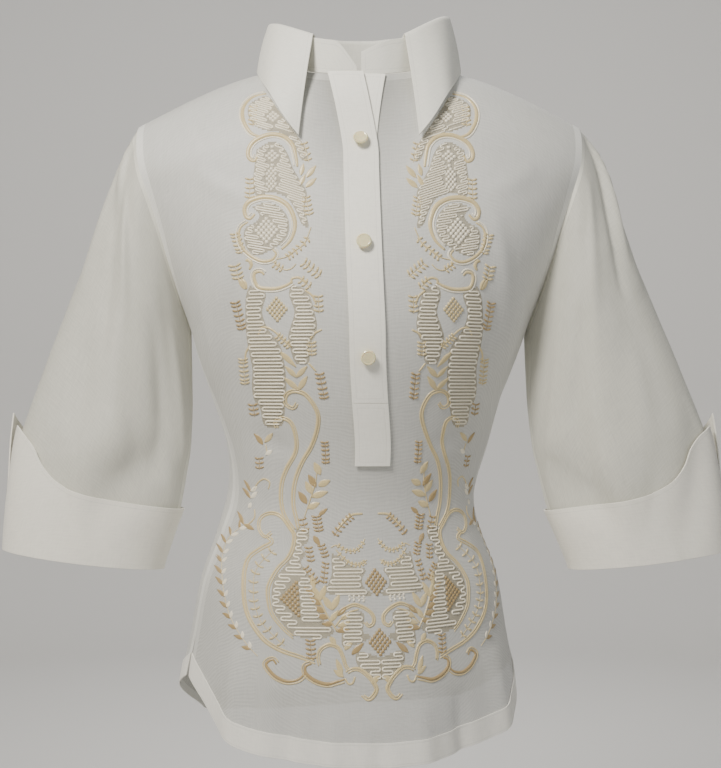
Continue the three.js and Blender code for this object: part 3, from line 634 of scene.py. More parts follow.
# the armhole edge, for the same angles as the sleeve: shoulder tip, front, underarm, back
def armholePoint(side, around):
    share = around / math.pi if around <= math.pi else 2 - around / math.pi
    height = lerp(body["shoulderTip"][1], body["underarm"], share * share)
    return bodyPoint(-1 if around <= math.pi else 1, side * math.pi / 2, height)


def sleevePoint(side, around, ring, pull):
    fade = readSmooth(sleeves["armholeFade"], ring, 1) if ring < 7 else 0
    return sleeveTube(side, around, ring) + pull * fade


def sleeveNormal(side, around, ring):
    across = sleeveTube(side, around + 0.02, ring) - sleeveTube(side, around - 0.02, ring)
    along = sleeveTube(side, around, min(ring + 0.1, 13)) - sleeveTube(side, around, ring - 0.1)
    return across.cross(along).normalized() * side


sleeveAngles = [2 * math.pi * i / 112 for i in range(112)]
sleeveSteps = [13 * i / 96 for i in range(97)]


def sleeveRows(side):
    pulls = [armholePoint(side, a) - sleeveTube(side, a, 0) for a in sleeveAngles]
    return [[sleevePoint(side, a, ring, pull) for a, pull in zip(sleeveAngles, pulls)]
            for ring in sleeveSteps]


sides = {-1: "left", 1: "right"}
sleevePieces = {}
for side, word in sides.items():
    cloth = organza(f"machine_woven_organza_sleeve_{word}", sleeves["colour"], sleeves["cover"],
                    0.05)
    sleevePieces[side] = clothPiece(f"sleeve_{word}_cloth", sleeveRows(side), cloth, closed=True,
                                    flip=side > 0)
print("sleeves")


# turned-back cuffs
cuffs = {
    # angle, height of the top edge above the wrist, how far it stands off
    "edge": [
        (0, 112, 4), (20, 110, 3), (44, 96, 2), (56, 80, 1.6), (72, 66, 1.4), (98, 58, 1.2),
        (180, 55, 1.2), (250, 58, 1.6), (300, 76, 3), (335, 104, 8), (360, 124, 13),
    ],
    "opening": 0.035, "seat": 0.9, "droop": 1.2,
    "thickness": 1.5,
    "colour": "#f2efe3",
    # rows from the inside of the fold to the top edge: share of the height, distance off the sleeve
    "rows": [(-0.3, -1.0), (-0.15, -1.0), (-0.04, -1.0), (0.0, -0.5)],
}


def cuffGrid(side):
    count = 150
    angles = [lerp(cuffs["opening"], 2 * math.pi - cuffs["opening"], i / count)
              for i in range(count + 1)]
    outside = [(share / 20, None) for share in range(21)]
    rows = []
    for share, lift in [*cuffs["rows"], *outside]:
        row = []
        for around in angles:
            degrees = math.degrees(around)
            height = readSmooth(cuffs["edge"], degrees, 1)
            flare = readSmooth(cuffs["edge"], degrees, 2)
            ringLength = (sleeveTube(side, around, 13) - sleeveTube(side, around, 10)).length / 3
            ring = 13 - height * abs(share) / ringLength
            out = sleeveNormal(side, around, ring)
            off = cuffs["seat"] + flare * share * share if lift is None else lift
            row.append(sleeveTube(side, around, ring) + out * off)
        rows.append(row)
    # the fold at the wrist hangs a little below the sleeve's own end
    for row in rows[3:5]:
        for point in row:
            point.z -= cuffs["droop"]
    return rows


cuffPieces = {}
for side, word in sides.items():
    cloth = interlined(f"interlined_organza_cuff_{word}", cuffs["colour"])
    piece = clothPiece(f"cuff_{word}_band", cuffGrid(side), cloth, flip=side < 0)
    cuffPieces[side] = thicken(piece, cuffs["thickness"], 1, 0.4)
print("cuffs")


collar = {
    # stations round one side: neck (front -1, back 1), x, rise of the stand, lean
    "stations": [
        (-1, 2, 7, 0), (-1, 17, 27, 1), (-1, 28, 30, 1), (-1, 40, 31, 1), (-1, 53, 35, 2),
        (-1, 65, 39, 3), (-1, 73, 43, 5), (-1, 76, 47, 8), (1, 73, 42, 5), (1, 65, 40, 3),
        (1, 53, 38, 2), (1, 40, 36, 1), (1, 28, 35, 0), (1, 17, 34, 0), (1, 6, 34, 0),
    ],
    "firstLeaf": 3,
    # the leaf's outer edge for the same stations, from the collar point to the back
    "leafEdge": [
        (53, -97, -70), (66, -93, -53), (80, -78, -29), (89, -52, -13), (96, -14, 3), (95, 20, 4),
        (88, 44, -2), (75, 62, -8), (57, 73, -8), (39, 79, -7), (23, 82, -6), (8, 83, -6),
    ],
    # the fold over the top of the stand: distance out and height, from the inside of the neck
    "lip": [(-3.2, -29), (-3.2, -15), (-3.2, -1), (-2.9, 1.2), (-1.9, 2.6), (-0.5, 3.2),
            (1.0, 3.0)],
    # painted shade on the inside of the neck, as a share taken off the colour
    "innerPaintedShade": 0.22,
    # half width and half depth of the neck, and where the leaf leaves the fold
    "neck": (80, 66), "foldOut": 2.4, "foldUp": 2,
    "bulge": 1.5,
    "rightEnd": 20,
    # the fold stands higher on the viewer's right than on the left, beside the neck
    "sideRise": {-1: -4, 1: 3},
    "thickness": 1.6,
    "colour": "#f1f0e5",
}


def neckStation(station, side):
    facing, x, rise, lean = station
    if side > 0 and x == 2:
        rise = collar["rightEnd"]  # this end is cut square, the other one is rounded
    rise += collar["sideRise"][side] * clamp((x - 40) / 36)
    height = necklineHeight(facing, x)
    foot = bodyPoint(facing, angleAt(side * x, height), height) + Vector((0, 0, 0.6))
    across, deep = collar["neck"]
    out = Vector((foot.x / across, foot.y / deep, 0)).normalized()
    return {"foot": foot, "out": out, "top": foot + out * lean + Vector((0, 0, rise))}


# a smooth line through points, sampled a number of times between each two
def throughPoints(points, samples):
    line = []
    for i in range(len(points) - 1):
        p0, p1 = points[max(i - 1, 0)], points[i]
        p2, p3 = points[i + 1], points[min(i + 2, len(points) - 1)]
        for s in range(samples):
            t = s / samples
            line.append(0.5 * (2 * p1 + (p2 - p0) * t + (2 * p0 - 5 * p1 + 4 * p2 - p3) * t * t
                               + (3 * p1 - p0 - 3 * p2 + p3) * t ** 3))
    return [*line, points[-1]]


stationsLeft = [neckStation(station, -1) for station in collar["stations"]]
stationsRight = [neckStation(station, 1) for station in collar["stations"]]
neckRing = [*stationsLeft, *reversed(stationsRight)]
samplesPerStation = 6


def standRows():
    foot = throughPoints([s["foot"] for s in neckRing], samplesPerStation)
    top = throughPoints([s["top"] for s in neckRing], samplesPerStation)
    return [[a.lerp(b, share / 10) for a, b in zip(top, foot)] for share in range(11)]


def leafRows():
    first = collar["firstLeaf"]
    ring = neckRing[first:len(neckRing) - first]
    half = [Vector(row) for row in collar["leafEdge"]]
    mirrored = [Vector((-p.x, p.y, p.z)) for p in half]
    edge = throughPoints([*mirrored, *reversed(half)], samplesPerStation)
    out = throughPoints([s["out"] for s in ring], samplesPerStation)
    top = throughPoints([s["top"] for s in ring], samplesPerStation)
    raised = Vector((0, 0, collar["foldUp"]))
    fold = [t + o * collar["foldOut"] + raised for t, o in zip(top, out)]
    rows = [[t + o * off + Vector((0, 0, up)) for t, o in zip(top, out)]
            for off, up in collar["lip"]]
    for r in range(25):
        share = r / 24
        rows.append([f.lerp(e, share) + o * 4 * collar["bulge"] * share * (1 - share)
                     for f, e, o in zip(fold, edge, out)])
    return rows


standCloth = interlined("interlined_organza_stand", collar["colour"])
# the leaf's colour has painted shade inside the neck
leafCloth = interlined("interlined_organza_collar_painted_shade", collar["colour"],
                       innerPaintedShade=collar["innerPaintedShade"])
standPiece = thicken(clothPiece("collar_stand_band", standRows(), standCloth, flip=True),
                     collar["thickness"], -1, 0.3)
leafPiece = thicken(clothPiece("collar_leaf_fall", leafRows(), leafCloth, flip=True),
                    collar["thickness"], -1, 0.4)
print("collar")


# half placket
placket = {
    "halfWidth": 15.5,
    "top": -12, "boxSeam": -305, "end": -361,
    "underLies": 0.36, "overLies": 1.8, "spread": 12, "spreadFrom": -84,
    "thickness": 1.0,
    "colour": "#fdfbf0",
}


# how far the strips lean to either side above the first button
def placketLean(height):
    return placket["spread"] * clamp((height - placket["spreadFrom"]) / 72) ** 1.3


def placketStrip(name, top, foot, lies, lean, halfWidth, cloth):
    rows = []
    count = max(int((top - foot) / 3), 6)
    for r in range(count + 1):
        height = lerp(top, foot, r / count)
        leaning = placketLean(height)
        row = []
        for c in range(11):
            x = lean[0] * leaning + lerp(-halfWidth, halfWidth, c / 10)
            row.append(onFront(x, height, lies + lean[1] * leaning / placket["spread"]))
        rows.append(row)
    piece = clothPiece(name, rows, cloth)
    return thicken(piece, placket["thickness"], 1, 0.25)


underCloth = interlined("interlined_organza_under_placket", placket["colour"])
overCloth = interlined("interlined_organza_placket", placket["colour"])
boxCloth = interlined("interlined_organza_placket_foot", placket["colour"])
underStrip = placketStrip("placket_under_strip", placket["top"] - 0.4, placket["end"],
                          placket["underLies"], (0.85, 1), placket["halfWidth"] - 2, underCloth)
overStrip = placketStrip("placket_over_strip", placket["top"] - 0.4, placket["boxSeam"],
                         placket["overLies"], (-1, 3), placket["halfWidth"], overCloth)
boxStrip = placketStrip("placket_foot_box", placket["boxSeam"] - 0.4, placket["end"],
                        placket["overLies"], (0, 0), placket["halfWidth"], boxCloth)
print("placket")


# machine embroidery, beige and ivory satin stitch on the front: motifs are laid out once, as
# distances from the centre line and heights, and mirrored. Cords run through their points, and a
# meander fills an outline with one thread that goes to and fro.
embroidery = {
    "colours": {"ivory": "#fbf3dd", "beige": "#dbc896", "tan": "#b39a6c"},
    # the ground's darker beige is partly pulled cloth, partly painted shade between the raised
    # threads
    "ground": "#b3a98f", "meanderWidth": 1.5, "meanderRise": 0.8,
    # tone, width, whether a thin second cord runs inside it (+1 or -1 is its side), points
    "cords": [
        ("beige", 3.4, 1, [(84, -27), (96, -30), (104, -40), (104, -53), (97, -66), (88, -70)]),
        ("beige", 4.0, 1, [(91, -86), (94, -92), (99, -89), (99, -81), (93, -73), (80, -68),
            (68, -70), (60, -78), (57, -90), (56, -98)]),
        ("beige", 4.4, 1, [(94, -140), (98, -144), (102, -142), (103, -135), (99, -129),
            (92, -126), (84, -125), (74, -127), (65, -133), (60, -143), (59, -153), (63, -164),
            (71, -172)]),
        ("beige", 2.8, 1, [(100, -147), (106, -151), (108, -159), (105, -170), (97, -178),
            (88, -182), (80, -181), (76, -176), (79, -172)]),
        ("beige", 0.9, 0, [(80, -181), (68, -179), (59, -173), (51, -167), (45, -153)]),
        ("beige", 0.9, 0, [(80, -182), (75, -186), (69, -190), (63, -189), (59, -185)]),
        ("beige", 3.4, 1, [(87, -194), (90, -191), (95, -192), (96, -197), (93, -204), (86, -206),
            (76, -206), (67, -203), (63, -200)]),
        ("beige", 1.6, 0, [(63, -202), (63, -198), (57, -197), (50, -202)]),
        ("beige", 1.4, 0, [(52, -208), (46, -213), (43, -220)]),
        ("beige", 2.6, 0, [(103, -181), (100, -181), (98, -185), (100, -189)]),
        ("beige", 2.4, 0, [(107, -197), (104, -201), (103, -206)]),
        ("beige", 1.4, 0, [(49, -250), (45, -245), (39, -242)]),
        ("beige", 1.3, 0, [(94, -246), (91, -240), (85, -240), (79, -244), (74, -249),
            (65, -257)]),
        ("beige", 1.5, 0, [(101, -255), (105, -261), (106, -269)]),
        ("beige", 1.3, 0, [(51, -271), (45, -278)]),
        ("beige", 2.6, -1, [(64, -305), (67, -309), (72, -306), (71, -299), (65, -296), (57, -298),
            (51, -305), (47, -314), (47, -322), (50, -333), (55, -345), (61, -356), (65, -368),
            (67, -381), (67, -396), (65, -407), (63, -418)]),
        ("beige", 2.6, -1, [(81, -328), (82, -323), (77, -320), (71, -323), (68, -331), (67, -342),
            (69, -352), (74, -364), (77, -377), (77, -394), (74, -407), (66, -420)]),
        ("beige", 0.8, 0, [(57, -407), (53, -394), (49, -378), (48, -366)]),
        ("beige", 0.8, 0, [(92, -343), (90, -350)]),
        ("beige", 1.2, 0, [(87, -383), (86, -377), (91, -374), (96, -378), (99, -384)]),
        ("beige", 1.2, 0, [(99, -402), (99, -409), (104, -415), (108, -416)]),
        ("beige", 1.6, 0, [(7, -404), (17, -405), (24, -411), (30, -418)]),
        ("beige", 2.2, -1, [(85, -420), (90, -424), (94, -419), (94, -412), (90, -407), (83, -405),
            (76, -408), (70, -417), (67, -423), (69, -433), (74, -442), (82, -450), (88, -459),
            (92, -469), (92, -481), (90, -491), (83, -502), (74, -511)]),
        ("beige", 2.8, -1, [(90, -425), (86, -429), (94, -434), (105, -442), (110, -452),
            (112, -465), (112, -481), (109, -494), (103, -505), (95, -515), (84, -522), (70, -527),
            (57, -532)]),
        ("beige", 0.9, 0, [(36, -433), (31, -431), (24, -435), (16, -436), (10, -432), (6, -426)]),
        ("beige", 0.9, 0, [(32, -435), (27, -441), (21, -446), (13, -448), (6, -444)]),
        ("beige", 2.0, 1, [(35, -488), (29, -484), (20, -481), (10, -485), (4, -491), (4, -498),
            (9, -501), (13, -497)]),
        ("beige", 2.2, 1, [(54, -534), (55, -526), (52, -519), (44, -515), (36, -518), (32, -526),
            (30, -533), (27, -537)]),
        ("tan", 3.0, 1, [(88, -533), (91, -529), (96, -533), (93, -539), (88, -544), (80, -547),
            (71, -545), (65, -539)]),
        ("tan", 3.2, 1, [(60, -532), (65, -534), (65, -540), (58, -546), (48, -549), (39, -547),
            (32, -545)]),
        ("beige", 2.6, 1, [(31, -539), (26, -536), (19, -536), (12, -541), (7, -547), (4, -554),
            (8, -561), (13, -563), (18, -559)]),
        ("beige", 1.4, 0, [(32, -544), (29, -549), (25, -548), (23, -543)]),
        ("beige", 1.3, 0, [(36, -505), (43, -494), (49, -481), (54, -467)]),
        ("beige", 1.1, 0, [(38, -500), (32, -493), (25, -488), (17, -486)]),
    ],
    # slant, distance between its rows, outline of each meander
    "meanders": [
        (-0.36, 2.2, [(86, -30), (97, -36), (100, -46), (95, -58), (84, -64), (72, -66), (60, -76),
            (52, -92), (46, -88), (54, -72), (64, -58), (74, -42), (80, -32)]),
        (-0.36, 2.2, [(92, -82), (80, -75), (70, -78), (64, -87), (60, -99), (54, -110),
            (48, -122), (50, -136), (47, -152), (53, -150), (58, -138), (66, -126), (80, -121),
            (92, -124), (95, -112), (94, -98)]),
        (-0.2, 2.2, [(96, -134), (85, -130), (74, -133), (66, -142), (64, -154), (68, -164),
            (76, -170), (92, -177), (101, -171), (104, -160), (102, -152), (93, -147),
            (90, -141)]),
        (0.0, 3.0, [(100, -203), (104, -214), (105, -240), (103, -258), (100, -275), (101, -290),
            (100, -302), (95, -311), (92, -326), (78, -326), (74, -312), (72, -300), (71, -285),
            (72, -270), (74, -258), (80, -248), (86, -240), (90, -226), (86, -211), (94, -206)]),
        (0.0, 3.0, [(64, -203), (54, -206), (48, -214), (45, -226), (43, -238), (45, -248),
            (50, -256), (50, -268), (54, -272), (62, -271), (66, -260), (68, -248), (66, -240),
            (62, -226), (66, -212)]),
        (0.0, 3.0, [(64, -416), (54, -417), (55, -428), (61, -433), (58, -439), (63, -446),
            (58, -454), (56, -462), (54, -470), (52, -480), (50, -492), (41, -501), (40, -506),
            (52, -511), (73, -508), (82, -498), (88, -488), (89, -478), (88, -468), (85, -459),
            (77, -450), (70, -440), (66, -428)]),
        (0.0, 3.0, [(36, -438), (28, -442), (20, -449), (8, -452), (12, -460), (11, -467),
            (5, -474), (44, -472), (42, -464), (38, -456), (37, -446)]),
        (0.0, 3.0, [(29, -488), (13, -489), (14, -505), (8, -508), (11, -512), (31, -518),
            (33, -508), (31, -497)]),
        (0.0, 3.0, [(0, -527), (19, -522), (21, -532), (12, -541), (0, -546)]),
    ],
    # tone, centre, width, height, whether only its outer half is there
    "diamonds": [
        ("ivory", (77, -51), 11, 14, False), ("ivory", (78, -88), 12, 19, False),
        ("ivory", (79, -109), 13, 21, False), ("ivory", (84, -155), 20, 23, False),
        ("beige", (77, -224), 22, 26, False), ("tan", (68.5, -477), 28, 35, True),
        ("tan", (0, -463), 23, 28, False), ("tan", (0, -514), 19, 23, False),
    ],
    # ladders and feathers of seed stitches: tone, seed length, number of pairs, stem
    "seeds": [
        ("beige", 6, 6, [(95, -40), (95, -60)]), ("beige", 5, 5, [(50, -76), (46, -94)]), ("beige",
        6, 6, [(98, -108), (98, -127)]), ("beige", 6, 6, [(49, -126), (46, -143)]), ("beige", 6, 7,
        [(111, -157), (106, -175)]), ("beige", 5, 8, [(66, -179), (57, -172), (47, -162)]),
        ("beige", 5, 4, [(78, -185), (70, -190)]), ("beige", 7, 5, [(112, -185), (109, -198)]),
        ("beige", 7, 6, [(52, -184), (38, -196)]), ("beige", 6, 4, [(55, -199), (47, -206)]),
        ("tan", 6, 9, [(113, -217), (108, -242)]), ("beige", 6, 5, [(41, -213), (41, -228)]),
        ("beige", 6, 5, [(48, -253), (48, -265)]), ("beige", 5, 6, [(77, -247), (66, -257)]),
        ("beige", 6, 9, [(108, -267), (107, -290)]), ("tan", 6, 8, [(42, -280), (39, -303)]),
        ("tan", 6, 4, [(101, -307), (100, -318)]), ("tan", 5, 8, [(42, -340), (41, -360)]), ("tan",
        5, 4, [(96, -355), (95, -366)]), ("tan", 5, 8, [(17, -406), (25, -413), (33, -423)]),
        ("tan", 5, 4, [(59, -408), (56, -420)]), ("tan", 6, 6, [(47, -406), (45, -420)]), ("tan",
        5, 5, [(55, -433), (54, -446)]), ("tan", 5, 5, [(44, -431), (41, -442)]), ("tan", 4.5, 6,
        [(59, -450), (50, -464)]), ("tan", 4.5, 6, [(42, -446), (46, -464)]), ("beige", 3, 10,
        [(30, -431), (22, -436), (13, -435), (7, -428)]), ("beige", 3, 10, [(30, -438), (22, -446),
        (13, -448), (7, -445)]), ("beige", 6, 16, [(84, -436), (91, -443), (98, -451), (102, -460),
        (103, -471), (103, -481), (101, -489), (98, -497), (93, -504), (87, -511), (81, -517)]),
        ("tan", 6, 6, [(60, -512), (60, -529)]), ("ivory", 4, 5, [(25, -476), (10, -477)]),
    ],
    # tone, base, tip, width
    "leaves": [
        ("beige", (53, -106), (51, -97), 3.6), ("beige", (48, -108), (41, -99), 4.2),
        ("beige", (54, -115), (50, -107), 3.6), ("beige", (49, -117), (41, -110), 4.2),
        ("beige", (104, -206), (109, -198), 4), ("beige", (75, -261), (64, -272), 4.2),
        ("beige", (62, -283), (70, -275), 4), ("beige", (62, -283), (54, -275), 4),
        ("beige", (61, -294), (71, -285), 4.4), ("beige", (61, -294), (54, -284), 4.4),
        ("tan", (94, -343), (100, -335), 4.4), ("beige", (93, -341), (87, -334), 4),
        ("ivory", (91, -352), (87, -349), 3.6), ("beige", (45, -369), (50, -360), 5.4),
        ("tan", (48, -380), (54, -371), 5), ("beige", (46, -379), (38, -375), 5.2),
        ("beige", (51, -386), (56, -377), 5), ("beige", (51, -389), (40, -385), 5.2),
        ("tan", (55, -395), (61, -386), 5), ("beige", (54, -399), (46, -395), 5),
        ("tan", (102, -386), (107, -378), 3.6), ("ivory", (102, -386), (97, -382), 3.6),
        ("tan", (102, -392), (108, -385), 3.6), ("ivory", (102, -392), (97, -387), 3.6),
        ("ivory", (104, -401), (102, -397), 4), ("tan", (108, -416), (112, -407), 3.6),
        ("tan", (108, -416), (101, -419), 3.6), ("beige", (50, -478), (55, -467), 4.6),
        ("beige", (50, -478), (45, -467), 4.6), ("beige", (40, -486), (46, -476), 4.8),
        ("beige", (40, -486), (34, -475), 4.8), ("tan", (50, -482), (57, -476), 4.2),
        ("tan", (47, -488), (54, -484), 4.4), ("tan", (44, -493), (52, -491), 4.2),
        ("tan", (40, -498), (48, -498), 4), ("beige", (42, -496), (36, -488), 4.2),
        ("tan", (36, -491), (28, -484), 4), ("beige", (33, -494), (26, -490), 3.6),
        ("tan", (38, -504), (28, -503), 4), ("beige", (36, -500), (27, -497), 3.8),
        ("tan", (53, -474), (61, -468), 4), ("beige", (54, -468), (55, -458), 4),
        ("beige", (43, -509), (39, -515), 4), ("beige", (31, -520), (25, -514), 4),
        ("tan", (25, -524), (16, -516), 4.4), ("beige", (34, -541), (38, -530), 4),
        ("beige", (33, -543), (40, -538), 4), ("beige", (9, -549), (3, -543), 4.4),
        ("tan", (50, -423), (46, -430), 4), ("tan", (45, -405), (39, -400), 3.4),
    ],
    # the bead and leaf chain round the outer side
    "chain": [(111, -419), (119, -428), (124, -440), (127, -452), (128, -466), (127, -480),
              (124, -494), (118, -506), (110, -518), (102, -527)],
    "chainLeaves": 13,
}


# the front surface and its way out, looked up between points 4 mm apart
surfaceStep = 4
surfaceGrid = {}


def surfaceCorner(i, j):
    if (i, j) not in surfaceGrid:
        x, height = i * surfaceStep, j * surfaceStep
        around = angleAt(x, height)
        surfaceGrid[i, j] = (bodyPoint(-1, around, height), bodyNormal(-1, around, height))
    return surfaceGrid[i, j]


def frontFrame(x, height):
    i, j = math.floor(x / surfaceStep), math.floor(height / surfaceStep)
    s, t = x / surfaceStep - i, height / surfaceStep - j
    corners = [surfaceCorner(i, j), surfaceCorner(i + 1, j), surfaceCorner(i, j + 1),
               surfaceCorner(i + 1, j + 1)]
    shares = [(1 - s) * (1 - t), s * (1 - t), (1 - s) * t, s * t]
    point = sum((c[0] * share for c, share in zip(corners, shares)), Vector())
    return point, sum((c[1] * share for c, share in zip(corners, shares)), Vector()).normalized()


# a smooth line through flat points, at steps of about the given length
def flatLine(points, step):
    spots = [Vector((p[0], p[1], 0)) for p in points]
    length = sum((b - a).length for a, b in zip(spots, spots[1:]))
    samples = max(int(math.ceil(length / step / (len(spots) - 1))), 1)
    return [(p.x, p.y) for p in throughPoints(spots, samples)]


threads = {tone: ([], []) for tone in embroidery["colours"]}
ground = ([], [])


# raised satin stitch along a line: full in the middle, with soft low sides
def satinLine(tone, line, width, rise, taper=0.0, lift=0.12):
    points, faces = threads[tone]
    frames = [frontFrame(x, z) for x, z in line]
    first = len(points)
    for i, (spot, out) in enumerate(frames):
        ahead = frames[min(i + 1, len(frames) - 1)][0] - frames[max(i - 1, 0)][0]
        side = out.cross(ahead).normalized()
        t = i / (len(frames) - 1)
        swell = lerp(1, math.sin(math.pi * (0.06 + 0.88 * t)) ** 0.7, taper)
        half = width / 2 * swell
        points += [spot + side * half + out * (lift - 0.1),
                   spot + side * half * 0.62 + out * (lift + rise * 0.85 * swell),
                   spot - side * half * 0.62 + out * (lift + rise * 0.85 * swell),
                   spot - side * half + out * (lift - 0.1)]
        if i:
            a = first + 4 * i
            faces += [(a + k, a + k + 1, a + k - 3, a + k - 4) for k in range(3)]
    last = len(points) - 4
    faces += [(first, first + 1, first + 2, first + 3), (last + 3, last + 2, last + 1, last)]


# a line moved sideways within the cloth
def besideLine(line, distance):
    moved = []
    for i, (x, z) in enumerate(line):
        ahead, behind = line[min(i + 1, len(line) - 1)], line[max(i - 1, 0)]
        dx, dz = ahead[0] - behind[0], ahead[1] - behind[1]
        length = math.hypot(dx, dz) or 1
        moved.append((x - dz / length * distance, z + dx / length * distance))
    return moved


def addCord(side, tone, width, inner, points):
    line = flatLine([(side * d, z) for d, z in points], 1.8)
    taper = 0.75 if width > 1.8 else 0.3
    satinLine(tone, line, width * (1 if inner else 1.35), 0.4 + 0.14 * width, taper)
    if inner:
        distance = side * inner * (width * 0.5 + 0.8)
        # the second cord is ivory on the chest and beige lower down
        second = "ivory" if tone == "beige" and points[0][1] > -300 else "beige"
        satinLine(second, besideLine(line, distance)[1:-1], 1.3, 0.6)


# a leaf: two satin halves that meet in a low midrib
def addLeaf(side, tone, base, tip, width):
    points, faces = threads[tone]
    x0, z0 = side * base[0], base[1]
    x1, z1 = lerp(x0, side * tip[0], 1.2), lerp(z0, tip[1], 1.2)
    first = len(points)
    count = 7
    for i in range(count + 1):
        t = i / count
        half = 0.62 * width * math.sin(math.pi * (0.04 + 0.92 * t) ** 0.85)
        spot, out = frontFrame(lerp(x0, x1, t), lerp(z0, z1, t))
        ahead = frontFrame(x1, z1)[0] - frontFrame(x0, z0)[0]
        across = out.cross(ahead).normalized()
        for share, rise in ((1, 0.02), (0.55, 0.75), (0, 0.3), (-0.55, 0.75), (-1, 0.02)):
            points.append(spot + across * half * share + out * (rise + 0.05))
        if i:
            a = first + 5 * i
            faces += [(a + k, a + k + 1, a + k - 4, a + k - 5) for k in range(4)]


# pairs of seed stitches along a stem, like barley
def addSeeds(side, tone, length, pairs, stem):
    line = flatLine([(side * d, z) for d, z in stem], 1.0)
    satinLine(tone, line, 0.7, 0.3)
    pairs = max(round(pairs * 0.8), 3)
    for pair in range(pairs):
        at = (pair + 0.5) / pairs * (len(line) - 1)
        i = min(int(at), len(line) - 2)
        (x0, z0), (x1, z1) = line[i], line[i + 1]
        x, z = lerp(x0, x1, at - i), lerp(z0, z1, at - i)
        heading = math.atan2(z1 - z0, x1 - x0)
        for turn in (1.2, -1.2):
            lean = heading + math.pi + turn
            reach = length * 0.76
            ends = [(x + math.cos(lean) * 0.5, z + math.sin(lean) * 0.5),
                    (x + math.cos(lean) * reach * 0.6, z + math.sin(lean) * reach * 0.6),
                    (x + math.cos(lean) * reach, z + math.sin(lean) * reach)]
            satinLine(tone, ends, 2.1, 0.9, 0.6)


# a lattice of small satin squares that touch at their corners, inside a diamond
def addDiamond(side, tone, centre, width, height, half):
    points, faces = threads[tone]
    cellsAcross = max(round(width / 2.3), 3) | 1
    cellsHigh = max(round(height / 2.5), 3) | 1
    cellX, cellZ = width / cellsAcross, height / cellsHigh
    for i in range(-(cellsAcross // 2), cellsAcross // 2 + 1):
        for j in range(-(cellsHigh // 2), cellsHigh // 2 + 1):
            inside = abs(i) / (cellsAcross / 2) + abs(j) / (cellsHigh / 2) <= 1.04
            if not inside or (i + j) % 2 or (half and i < 0):
                continue
            x, z = side * (centre[0] + i * cellX), centre[1] + j * cellZ
            first = len(points)
            for share, rise in ((0.62, 0.05), (0.5, 0.9)):
                for dx, dz in ((1, 1), (-1, 1), (-1, -1), (1, -1)):
                    spot, out = frontFrame(x + dx * cellX * share, z + dz * cellZ * share)
                    points.append(spot + out * rise)
            faces.append((first + 4, first + 5, first + 6, first + 7))
            faces += [(first + k, first + (k + 1) % 4, first + 4 + (k + 1) % 4, first + 4 + k)
                      for k in range(4)]


def insideDiamonds(side, x, z):
    for _, (d, height), width, tall, half in embroidery["diamonds"]:
        for mirror in ((side,) if d else (1,)):
            dx = (x - mirror * d) * mirror
            if half and dx < -1.5:
                continue
            if abs(dx) / (width / 2 + 2) + abs(z - height) / (tall / 2 + 2.5) < 1:
                return True
    return False


# where a level line runs inside an outline
def rowSpans(edge, z):
    crossings = sorted(a[0] + (b[0] - a[0]) * (z - a[1]) / (b[1] - a[1])
                       for a, b in zip(edge, edge[1:]) if (a[1] > z) != (b[1] > z))
    return list(zip(crossings[::2], crossings[1::2]))


# the ground inside an outline: darker, partly as the fill pulls the cloth open, partly painted
# shade
def addGround(side, outline):
    points, faces = ground
    edge = flatLine([(side * d, z) for d, z in [*outline, outline[0]]], 2.0)
    z, step = max(p[1] for p in edge), 1.6
    while z > min(p[1] for p in edge):
        for left, right in rowSpans(edge, z - step / 2):
            cells = max(round((right - left) / 6), 1)
            first = len(points)
            for level in (z, z - step):
                for c in range(cells + 1):
                    spot, out = frontFrame(lerp(left, right, c / cells), level)
                    points.append(spot + out * 0.14)
            faces.extend((first + c, first + cells + 1 + c, first + cells + 2 + c, first + c + 1)
                         for c in range(cells))
        z -= step


# one thread that runs to and fro inside an outline and turns back at its edges
def addMeander(side, slant, pitch, outline, rng):
    edge = flatLine([(side * d, z + slant * d) for d, z in [*outline, outline[0]]], 2.0)
    lean = slant * side
    z = max(p[1] for p in edge) - pitch * 0.6
    chains = []
    while z > min(p[1] for p in edge):
        spans = []
        for left, right in rowSpans(edge, z):
            start = None
            steps = max(int((right - left) / 0.7), 1)
            for k in range(steps + 1):
                x = lerp(left + 0.8, right - 0.8, k / steps)
                blocked = insideDiamonds(side, x, z - lean * x)
                if not blocked and start is None:
                    start = x
                if start is not None and (blocked or k == steps):
                    if x - start > 3.5:
                        spans.append((start, x))
                    start = None
        taken = set()
        for left, right in spans:
            for number, chain in enumerate(chains):
                lastZ, lastLeft, lastRight = chain[-1]
                overlap = min(right, lastRight) - max(left, lastLeft)
                if number not in taken and abs(lastZ - z - pitch) < 0.01 and overlap > 3:
                    chain.append((z, left, right))
                    taken.add(number)
                    break
            else:
                chains.append([(z, left, right)])
                taken.add(len(chains) - 1)
        z -= pitch
    for chain in chains:
        line = []
        turn = pitch / 2
        rightwards = rng.random() < 0.5
        for k, (height, left, right) in enumerate(chain):
            nextRow = chain[min(k + 1, len(chain) - 1)]
            previous = chain[max(k - 1, 0)]
            enter, leave = (previous, nextRow) if rightwards else (nextRow, previous)
            start = max(left, enter[1]) + turn + rng.uniform(0, 1.0)
            end = min(right, leave[2]) - turn - rng.uniform(0, 1.0)
            if end - start < 1:
                middleX = (start + end) / 2
                start, end = middleX - 0.5, middleX + 0.5
            row = [(lerp(start, end, n / 4), height) for n in range(5)]
            if not rightwards:
                row.reverse()
            line += row
            if k + 1 < len(chain):
                way = 1 if rightwards else -1
                for bend in (0.25, 0.5, 0.75):
                    line.append((row[-1][0] + way * turn * math.sin(math.pi * bend),
                                 height - turn * (1 - math.cos(math.pi * bend))))
            rightwards = not rightwards
        if len(line) > 2:
            satinLine("ivory", [(x, height - lean * x) for x, height in line],
                      embroidery["meanderWidth"], embroidery["meanderRise"])


